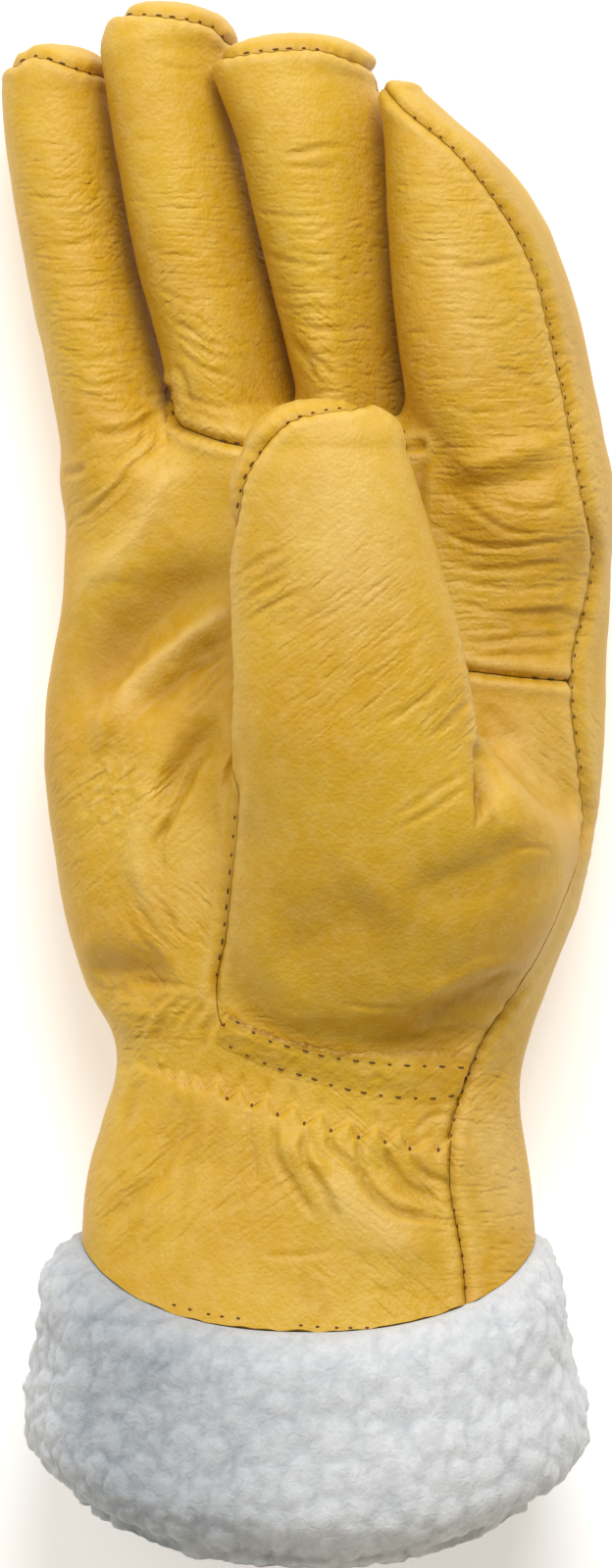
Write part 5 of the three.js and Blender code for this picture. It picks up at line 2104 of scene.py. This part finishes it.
@dataclass
class WristStrip:
    """The strip of leather with a raw upper edge that is sewn over the foot of the thumb panel."""

    ground: Ground
    top: Line = (
        (-15.2, -42.5), (-10.3, -45), (-4.2, -47.5), (2, -48.9), (7.5, -50), (14.5, -49.9),
        (24.5, -49.7), (31.4, -50.5),
    )
    bottom: Line = (
        (-17, -48.9), (-11, -51.5), (-5.7, -53.8), (0.6, -55.7), (6.2, -57.5), (12.4, -58.8),
        (20.7, -60.0), (28.8, -58.9),
    )
    upper_row: Line = (
        (-14.2, -43.4), (-9.4, -46.5), (-6.1, -48.1), (-2.8, -49), (0.7, -49.9), (4, -50.8),
        (10.7, -51.7), (17.7, -52.4), (24.1, -52.6), (29.4, -52.9),
    )
    lower_row: Line = (
        (-15.6, -48.2), (-10.9, -50.6), (-5.7, -52.8), (0.6, -54.7), (6.2, -56.5), (12.4, -57.8),
        (18, -58.4), (24, -58.6), (29.1, -57.8),
    )
    end_row: Line = ((-14.6, -43.2), (-15.4, -45.4), (-15.9, -48.2))
    thickness: float = 1.0
    missing: float = 46.0  # the height where there is no leather below the strip
    sunk_edge: float = 0.12  # how deep its lower edge is pressed in
    rise: float = 0.42  # how far it rises from there to its raw edge
    raw_curl: float = 0.5  # how far the raw edge curls up, and how ragged it is
    long_count: int = 200
    wide_count: int = 26

    def build(self) -> tuple[bpy.types.Object, Skin]:
        """Makes the strip.

        Returns:
            The strip and its upper surface, for its stitches.
        """
        share = np.linspace(0, 1, self.long_count)
        edges = []
        for line in (self.bottom, self.top):
            dense = smooth_line(line, 0.25)
            run = np.linspace(0, 1, len(dense))
            edges.append(np.stack([np.interp(share, run, dense[:, i]) for i in range(2)], axis=1))
        rows = np.linspace(0, 1, self.wide_count)[None, :, None]
        plan = edges[0][:, None, :] * (1 - rows) + edges[1][:, None, :] * rows
        flat = plan.reshape(-1, 2)
        found = [self.ground.drop(float(x), float(y)) for x, y in flat]
        found = np.array([place[0].z if place else self.missing for place in found])
        heights = found.reshape(self.long_count, self.wide_count).copy()
        for axis in (0, 1):  # the highest near by, so that the seam below leaves no slot
            ahead, behind = (np.roll(heights, turn, axis=axis) for turn in (2, -2))
            heights[2:-2, 2:-2] = np.maximum.reduce([heights, ahead, behind])[2:-2, 2:-2]
        found = heights.reshape(-1).copy()
        for _ in range(8):  # smooths the strip over what lies below
            heights[1:-1] = (heights[:-2] + 2 * heights[1:-1] + heights[2:]) / 4
            heights[:, 1:-1] = (heights[:, :-2] + 2 * heights[:, 1:-1] + heights[:, 2:]) / 4
        up = np.tile(np.linspace(0, 1, self.wide_count), self.long_count)
        rising = smoothstep(0, 0.7, up)
        level = np.maximum(heights.reshape(-1), found) - self.sunk_edge + self.rise * rising
        places = np.stack([flat[:, 0], flat[:, 1], level], axis=1)
        ragged = gradient_noise(places / (1.1, 1.1, 40), 5) * smoothstep(0.8, 1.0, up)
        places[:, 1] += self.raw_curl * ragged
        curled = smoothstep(0.7, 1.0, up) * (0.6 + gradient_noise(places / 5, 6))
        places[:, 2] += self.raw_curl * curled
        top = places.copy()
        thinned = (0.12 + 0.88 * rising) * (0.7 + 0.3 * np.minimum(1, 8 * (1 - up)))
        top[:, 2] += self.thickness * thinned
        top[:, 2] += 0.25 * gradient_noise(places / (2.2, 1.6, 10), 7)
        i, j = np.meshgrid(
            np.arange(self.long_count - 1), np.arange(self.wide_count - 1), indexing="ij"
        )
        a = (i * self.wide_count + j).reshape(-1)
        faces = np.stack([a, a + self.wide_count, a + self.wide_count + 1, a + 1], axis=1)
        normals = np.tile((0.0, 0.0, 1.0), (len(top), 1))
        upper = Skin(top, normals, faces)
        under = Skin(places, normals, faces).turned()
        whole = upper.joined(upper.rim(self.thickness)).joined(under)
        along = np.repeat(share, self.wide_count)
        # the raw edge is darker in its own colour, with painted shade added that is stronger
        # towards the left
        raw = smoothstep(0.84, 0.93, up) * (0.75 + gradient_noise(places / (0.9, 0.7, 40), 8))
        left = 1 - smoothstep(0.4, 0.62, along)
        marks = {
            "rise": np.full(len(top), 0.3),
            "hollow": np.clip((0.45 + 0.55 * left) * raw, 0, 1),
        }
        return whole.to_object("wrist_strip_leather", marks), upper


@dataclass
class FleeceCuff:
    """The pile lining in the cuff and the thick band of it turned out past the hem."""

    form: GloveForm
    band: SectionTable = field(default_factory=lambda: SectionTable("""
-85.8 -44.4 45.2 54.8 -1.5
-88 -46.6 46.2 57.8 -1.4
-92 -48.8 47.8 60.8 -1.8
-103 -50 49 62.5 -2.2
-110 -51.4 50.8 63.5 -2.2
-116 -52.2 52.2 64 -2
-121 -51.4 52.4 63.6 -1.4
-124.8 -49 50.2 61 0.4
-127.2 -44.6 45.4 57 4
"""))
    mouth: SectionTable = field(default_factory=lambda: SectionTable("""
-88 -35.4 36 47 6
-92 -36.2 36.4 48 7
-104 -38.4 38.4 50.4 8.2
-117 -40.8 40.8 52.6 8.4
-123 -42.0 42.4 53.8 7.0
-127.2 -43.2 43.8 55.2 5.6
"""))
    around: int = 430
    band_step: float = 0.8
    lining_inset: float = 2.7
    lining_thickness: float = 4.2
    lining_top: float = -46.0
    clump: float = 4.8  # width of a clump of pile, mm
    clump_height: float = 1.4
    swell: float = 13.0  # width of the band's slow swells, mm
    swell_height: float = 0.9
    grey: float = 0.6  # how much painted shade greys the pile towards the band's left
    pressed: float = 1.2  # the height below which the pile is pressed flat on the floor, mm
    lip_drop: float = 1.6  # how far the mouth's rounded lip hangs past its sections

    @staticmethod
    def ring(table: SectionTable, y: float, depth: float = 0.0) -> tuple[float, ...]:
        """Returns a section's Y, left, right, front and back, moved in by a depth."""
        left, right, front, back, _ = (float(v) for v in table.at(np.array(y)))
        return float(y), left + depth, right - depth, front - depth, back + depth

    def profile(self) -> tuple[Array, Array]:
        """The closed profile of the cuff, from the lining's inner end round its lip and back.

        Returns:
            One row a ring: Y, left, right, front and back. And how much pile stands on each ring.
        """
        inset, band = self.lining_inset, self.band
        inner = np.linspace(self.lining_top, -84, 12)
        mouth = [self.ring(self.mouth, y) for y in np.linspace(-88, self.mouth.low, 22)]
        lip = []
        first, last = np.array(mouth[-1]), np.array(self.ring(band, band.low))
        for t in (0.2, 0.4, 0.6, 0.8):
            lip.append(first * (1 - t) + last * t)
            lip[-1][0] -= self.lip_drop * np.sin(np.pi * t)
        outer = (-85.36, -84.6, -82, -74, -66, -56, self.lining_top)
        parts = (
            (0.3, [self.ring(HAND, y, inset + self.lining_thickness) for y in inner]),
            (0.7, mouth),
            (1.0, lip),
            (1.0, [self.ring(band, y) for y in np.arange(band.low, band.high, self.band_step)]),
            (0.2, [self.ring(HAND, -85.3, -0.05)]),
            (0.0, [self.ring(HAND, y, inset) for y in outer]),
        )
        rows = np.array([row for _, part in parts for row in part])
        return rows, np.repeat([pile for pile, _ in parts], [len(part) for _, part in parts])

    def rings(self, rows: Array) -> Array:
        """The plain rings of the profile, slanted as the cuff is.

        Args:
            rows: the profile.

        Returns:
            X, Y and Z of each point of each ring.
        """
        turn = np.linspace(0, 2 * np.pi, self.around, endpoint=False)
        power = 2 / self.form.ROUNDNESS
        across = np.sign(np.cos(turn)) * np.abs(np.cos(turn)) ** power
        rise = np.sign(np.sin(turn)) * np.abs(np.sin(turn)) ** power
        y, left, right, front, back = (rows[:, i : i + 1] for i in range(5))
        x = (left + right) / 2 + (right - left) / 2 * across
        z = (front + back) / 2 + (front - back) / 2 * rise
        share = smoothstep(-self.form.DROP_STARTS, -self.form.HEM_Y, -y)
        return np.stack([x, y - share * self.form.hem_drop(rise), z], axis=2)

    def clumps(self, points: Array) -> Array:
        """The height of the pile's clumps.

        Args:
            points: places on the plain cuff.

        Returns:
            One value a point, from 0 between the clumps to 1.
        """
        warp = np.stack([gradient_noise(points / 5.0, 20 + i) for i in range(3)], axis=1) * 1.6
        made = np.zeros(len(points))
        # smaller clumps, half as wide, stand on the large ones
        for size, weight in ((self.clump, 0.7), (self.clump * 0.5, 0.3)):
            for i, place in enumerate(((points + warp) / (size, size * 1.3, size)).tolist()):
                first, second = noise.voronoi(place)[0][:2]
                high, apart = max(0.0, 1 - first**2), min(1.0, 1.6 * (second - first))
                made[i] += weight * (0.5 * high + 0.5 * apart)
        return made

    def build(self) -> bpy.types.Object:
        """Makes the cuff.

        Returns:
            The cuff's object, with the marks that its material reads.
        """
        rows, pile = self.profile()
        grid = self.rings(rows)
        count, around = grid.shape[:2]
        along = np.roll(grid, -1, axis=0) - np.roll(grid, 1, axis=0)
        across = np.roll(grid, -1, axis=1) - np.roll(grid, 1, axis=1)
        normals = np.cross(along, across)
        normals /= np.maximum(np.linalg.norm(normals, axis=2), 1e-6)[..., None]
        points, normals = grid.reshape(-1, 3), normals.reshape(-1, 3)
        amount = np.repeat(pile, around)
        shown = amount > 0.4
        clumps = np.full(len(points), 0.5)
        clumps[shown] = self.clumps(points[shown])
        swell = self.swell_height * gradient_noise(points / self.swell, 31)
        edge = 1 + 0.7 * (1 - np.abs(normals[:, 2]))  # the clumps stand out more at its outline
        height = amount * (self.clump_height * edge * (clumps - 0.45) + swell)
        points = points + normals * height[:, None]
        low = points[:, 2] < self.pressed
        points[low, 2] = 0.1 + 1.1 * np.exp((points[low, 2] - self.pressed) / 1.1)
        i, j = np.meshgrid(np.arange(count), np.arange(around), indexing="ij")
        a, b = i * around + j, i * around + (j + 1) % around
        c, d = (i + 1) % count * around + (j + 1) % around, (i + 1) % count * around + j
        faces = np.stack([d, c, b, a], axis=-1).reshape(-1, 4)
        x = points[:, 0]
        # painted shade: greyer towards the band's left, fading out again at its far left
        shade = self.grey * (1 - smoothstep(-48, 20, x)) * smoothstep(-60, -34, x)
        # painted shade between the clumps, with the painted shade on the left
        marks = {"hollow": (np.clip(0.6 - clumps, 0, 0.5) * 0.6 + shade) * (amount > 0)}
        return Skin(points, normals, faces).to_object("fleece_pile", marks)


@dataclass
class Stitching:
    """All the thread that shows: dark stitches in the seams, and the elastic's zigzag."""

    seams: Seams
    relief: Relief
    leather: Ground
    strip: WristStrip
    radius: float = 0.19
    pitch: float = 3.3
    length: float = 0.8
    tip_spans: tuple[tuple[str, tuple[float, float]], ...] = (
        ("little", (-55, -39)), ("ring", (-35, -14)), ("middle", (-13, 9)),
    )
    hem_rows: tuple[Line, ...] = (
        ((172, 1325), (194, 1331), (220, 1337), (245, 1340)),
        ((300, 1346), (340, 1349), (400, 1349)),
    )
    zigzag_from: float = -30.0
    zigzag_to: float = 28.0
    holes_from: float = -17.0

    @staticmethod
    def part_of(line: Array, low: float, high: float, axis: int = 1) -> Array:
        """The points of a line between two values of X (axis 0) or Y (axis 1)."""
        return line[(line[:, axis] > low) & (line[:, axis] < high)]

    def rows(self, strip: Ground) -> list[tuple[bpy.types.Object, str]]:
        """The dark stitches along the seams, the hem and the wrist strip.

        Args:
            strip: the strip's upper surface.

        Returns:
            Each object with its slot.
        """
        seams, part, leather, radius = self.seams, self.part_of, self.leather, self.radius
        side, ring, index = (
            seam.beside(offset)
            for seam, offset in (
                (seams.side, -0.2), (seams.bases["ring_middle"], 0.3), (seams.bases["index"], 0.3)
            )
        )
        thumb = part(seams.thumb_tip.beside(-0.3), 50, 80)
        tips = [part(seams.tips[name].beside(-0.3), *span, 0) for name, span in self.tip_spans]
        hems = [smooth_line(tuple(traced(pixel) for pixel in row)) for row in self.hem_rows]
        bands = (self.strip.upper_row, self.strip.lower_row, self.strip.end_row)
        made = []
        for name, ground, slot, runs in (
            ("side_seam_thread", leather, "grain_leather", [
                (part(side, low, high), 2.9, 0.5, 0.16) for low, high in ((-101, -50), (2, 127))
            ]),
            ("fingertip_thread", leather, "grain_leather", [
                *((line, 2.6, 0.8, radius) for line in tips),
                (part(thumb, -20, 8, 0), 2.6, 0.9, radius),
            ]),
            ("finger_base_thread", leather, "grain_leather", [
                (part(ring, -30, -10, 0), 2.8, 0.9, radius),
                (part(index, 41, 51, 0), 2.8, 0.7, radius),
            ]),
            ("thumb_seam_thread", leather, "grain_leather", [
                (part(seams.thenar.beside(0.2), -37.5, -4), self.pitch, self.length, radius),
            ]),
            ("hem_thread", leather, "grain_leather", [(line, 2.9, 0.5, radius) for line in hems]),
            ("wrist_strip_thread", strip, "strip_leather", [
                (smooth_line(row), self.pitch, self.length, radius) for row in bands
            ]),
        ):
            threads = Threads(name)
            for run in runs:
                threads.run(ground, *run)
            made.append((threads.build(), slot))
        return made

    def zigzag(self) -> tuple[bpy.types.Object, bpy.types.Object]:
        """The zigzag of the wrist elastic.

        Returns:
            Its golden thread, and dark dots at its points: the stitch holes, with painted shade of
            the creases that start there.
        """
        thread, holes_and_painted_shade = Threads("elastic_zigzag_thread"), Threads("elastic_zigzag_holes")
        for a, b in zip(self.relief.zigzag, self.relief.zigzag[1:]):
            start, end = np.array(traced(a)), np.array(traced(b))
            if start[0] < self.zigzag_from or end[0] > self.zigzag_to:
                continue
            thread.stitch(self.leather, start, end, 0.16, -0.4)
            # dark dots at the lower points: stitch holes, with painted shade where the creases
            # below start
            if end[1] < start[1] and end[0] > self.holes_from:
                holes_and_painted_shade.stitch(self.leather, end - (0, 0.2), end + (0, 0.2), 0.26, 0.2)
        return thread.build(), holes_and_painted_shade.build()


class Studio:
    """A plain pale floor, soft light from the upper right and the camera over the palm."""

    FRAME_HEIGHT = 1600 * PIXEL  # what the photograph's height spans at the glove, mm
    FOCUS_Z = 26.0
    DISTANCE = 2600.0
    SENSOR = 36.0
    FLOOR_REACH = 3.0  # metres
    LAMPS = (
        ("key_light", (0.2, 0.95, 1.1), 0.8, 19, "#f7f9ff"),
        ("fill_light", (-0.9, 0.4, 1.1), 0.9, 5, "#ffffff"),
    )
    AIR_COLOUR = "#fff1d8"
    AIR_STRENGTH = 0.44

    def floor(self) -> None:
        """Lays the floor."""
        mesh = bpy.data.meshes.new("studio_floor")
        far = self.FLOOR_REACH
        corners = [(-far, -far, 0), (far, -far, 0), (far, far, 0), (-far, far, 0)]
        mesh.from_pydata(corners, [], [(0, 1, 2, 3)])
        mesh.materials.append(MattPaper().build())
        placed(mesh.name, mesh)

    def lamp(
        self, name: str, place: tuple[float, float, float], size: float, watts: float, colour: str
    ) -> None:
        """Adds one soft square lamp aimed at the glove.

        Args:
            name: the lamp's name.
            place: where it stands, in metres.
            size: the length of its side, in metres.
            watts: its power.
            colour: its colour.
        """
        light = bpy.data.lights.new(name, "AREA")
        light.size = size
        light.energy = watts
        light.color = linear(colour)[:3]
        made = placed(name, light)
        made.location = place
        made.rotation_euler = (-Vector(place)).to_track_quat("-Z", "Y").to_euler()

    def lights(self) -> None:
        """Adds the lamps and the pale surroundings."""
        for lamp in self.LAMPS:
            self.lamp(*lamp)
        world = bpy.data.worlds.new("studio_air")
        tree = Shading(world)
        air = {"Color": linear(self.AIR_COLOUR), "Strength": self.AIR_STRENGTH}
        air = tree.add("Background", air)
        tree.add("OutputWorld", {"Surface": air})
        bpy.context.scene.world = world
        bpy.context.scene.view_settings.view_transform = "Standard"

    def camera(self) -> None:
        """Hangs the camera straight over the palm."""
        lens = bpy.data.cameras.new("photo_camera")
        lens.type = "PERSP"
        lens.sensor_fit = "AUTO"
        lens.sensor_width = self.SENSOR
        lens.lens = self.SENSOR * self.DISTANCE / self.FRAME_HEIGHT
        lens.clip_end = 20.0
        made = placed(lens.name, lens)
        made.location = (0.0, 0.0, (self.DISTANCE + self.FOCUS_Z) * MM)
        bpy.context.scene.camera = made


def finish_piece(piece: bpy.types.Object, material: bpy.types.Material) -> None:
    """Dresses a piece and fixes it to the glove's one body.

    Args:
        piece: the piece.
        material: what it is made of.
    """
    piece.data.materials.append(material)
    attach(piece, "root")
    LOG.info("%s: %d faces", piece.name, len(piece.data.polygons))


def main() -> None:
    """Builds the glove and its studio."""
    logging.basicConfig(level=logging.INFO, format="%(name)s: %(message)s", stream=sys.stdout)
    studio = Studio()
    studio.camera()
    studio.floor()
    studio.lights()
    form = GloveForm()
    seams = Seams()
    relief = Relief(seams, form)
    leather = GrainLeather().build()
    dark = WaxedThread("waxed_brown_thread", "#5a3810").build()
    gold = WaxedThread("waxed_golden_thread", "#d2aa50").build()

    panels = LeatherPanels(form, seams, relief)
    pieces, outers = panels.build()
    for name, piece in pieces.items():
        finish_piece(piece, leather)
        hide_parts(panels.nodes[name])

    ground = Ground(outers)
    strip = WristStrip(ground)
    strip_piece, strip_top = strip.build()
    finish_piece(strip_piece, leather)
    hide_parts("wrist_strip")

    stitching = Stitching(seams, relief, ground, strip)
    for thread, slot in stitching.rows(Ground([strip_top])):
        finish_piece(thread, dark)
    zigzag, holes_and_painted_shade = stitching.zigzag()
    finish_piece(zigzag, gold)
    finish_piece(holes_and_painted_shade, dark)

    cuff = FleeceCuff(form).build()
    finish_piece(cuff, PileFleece().build())
    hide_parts("fleece_cuff")


if __name__ == "__main__":
    main()
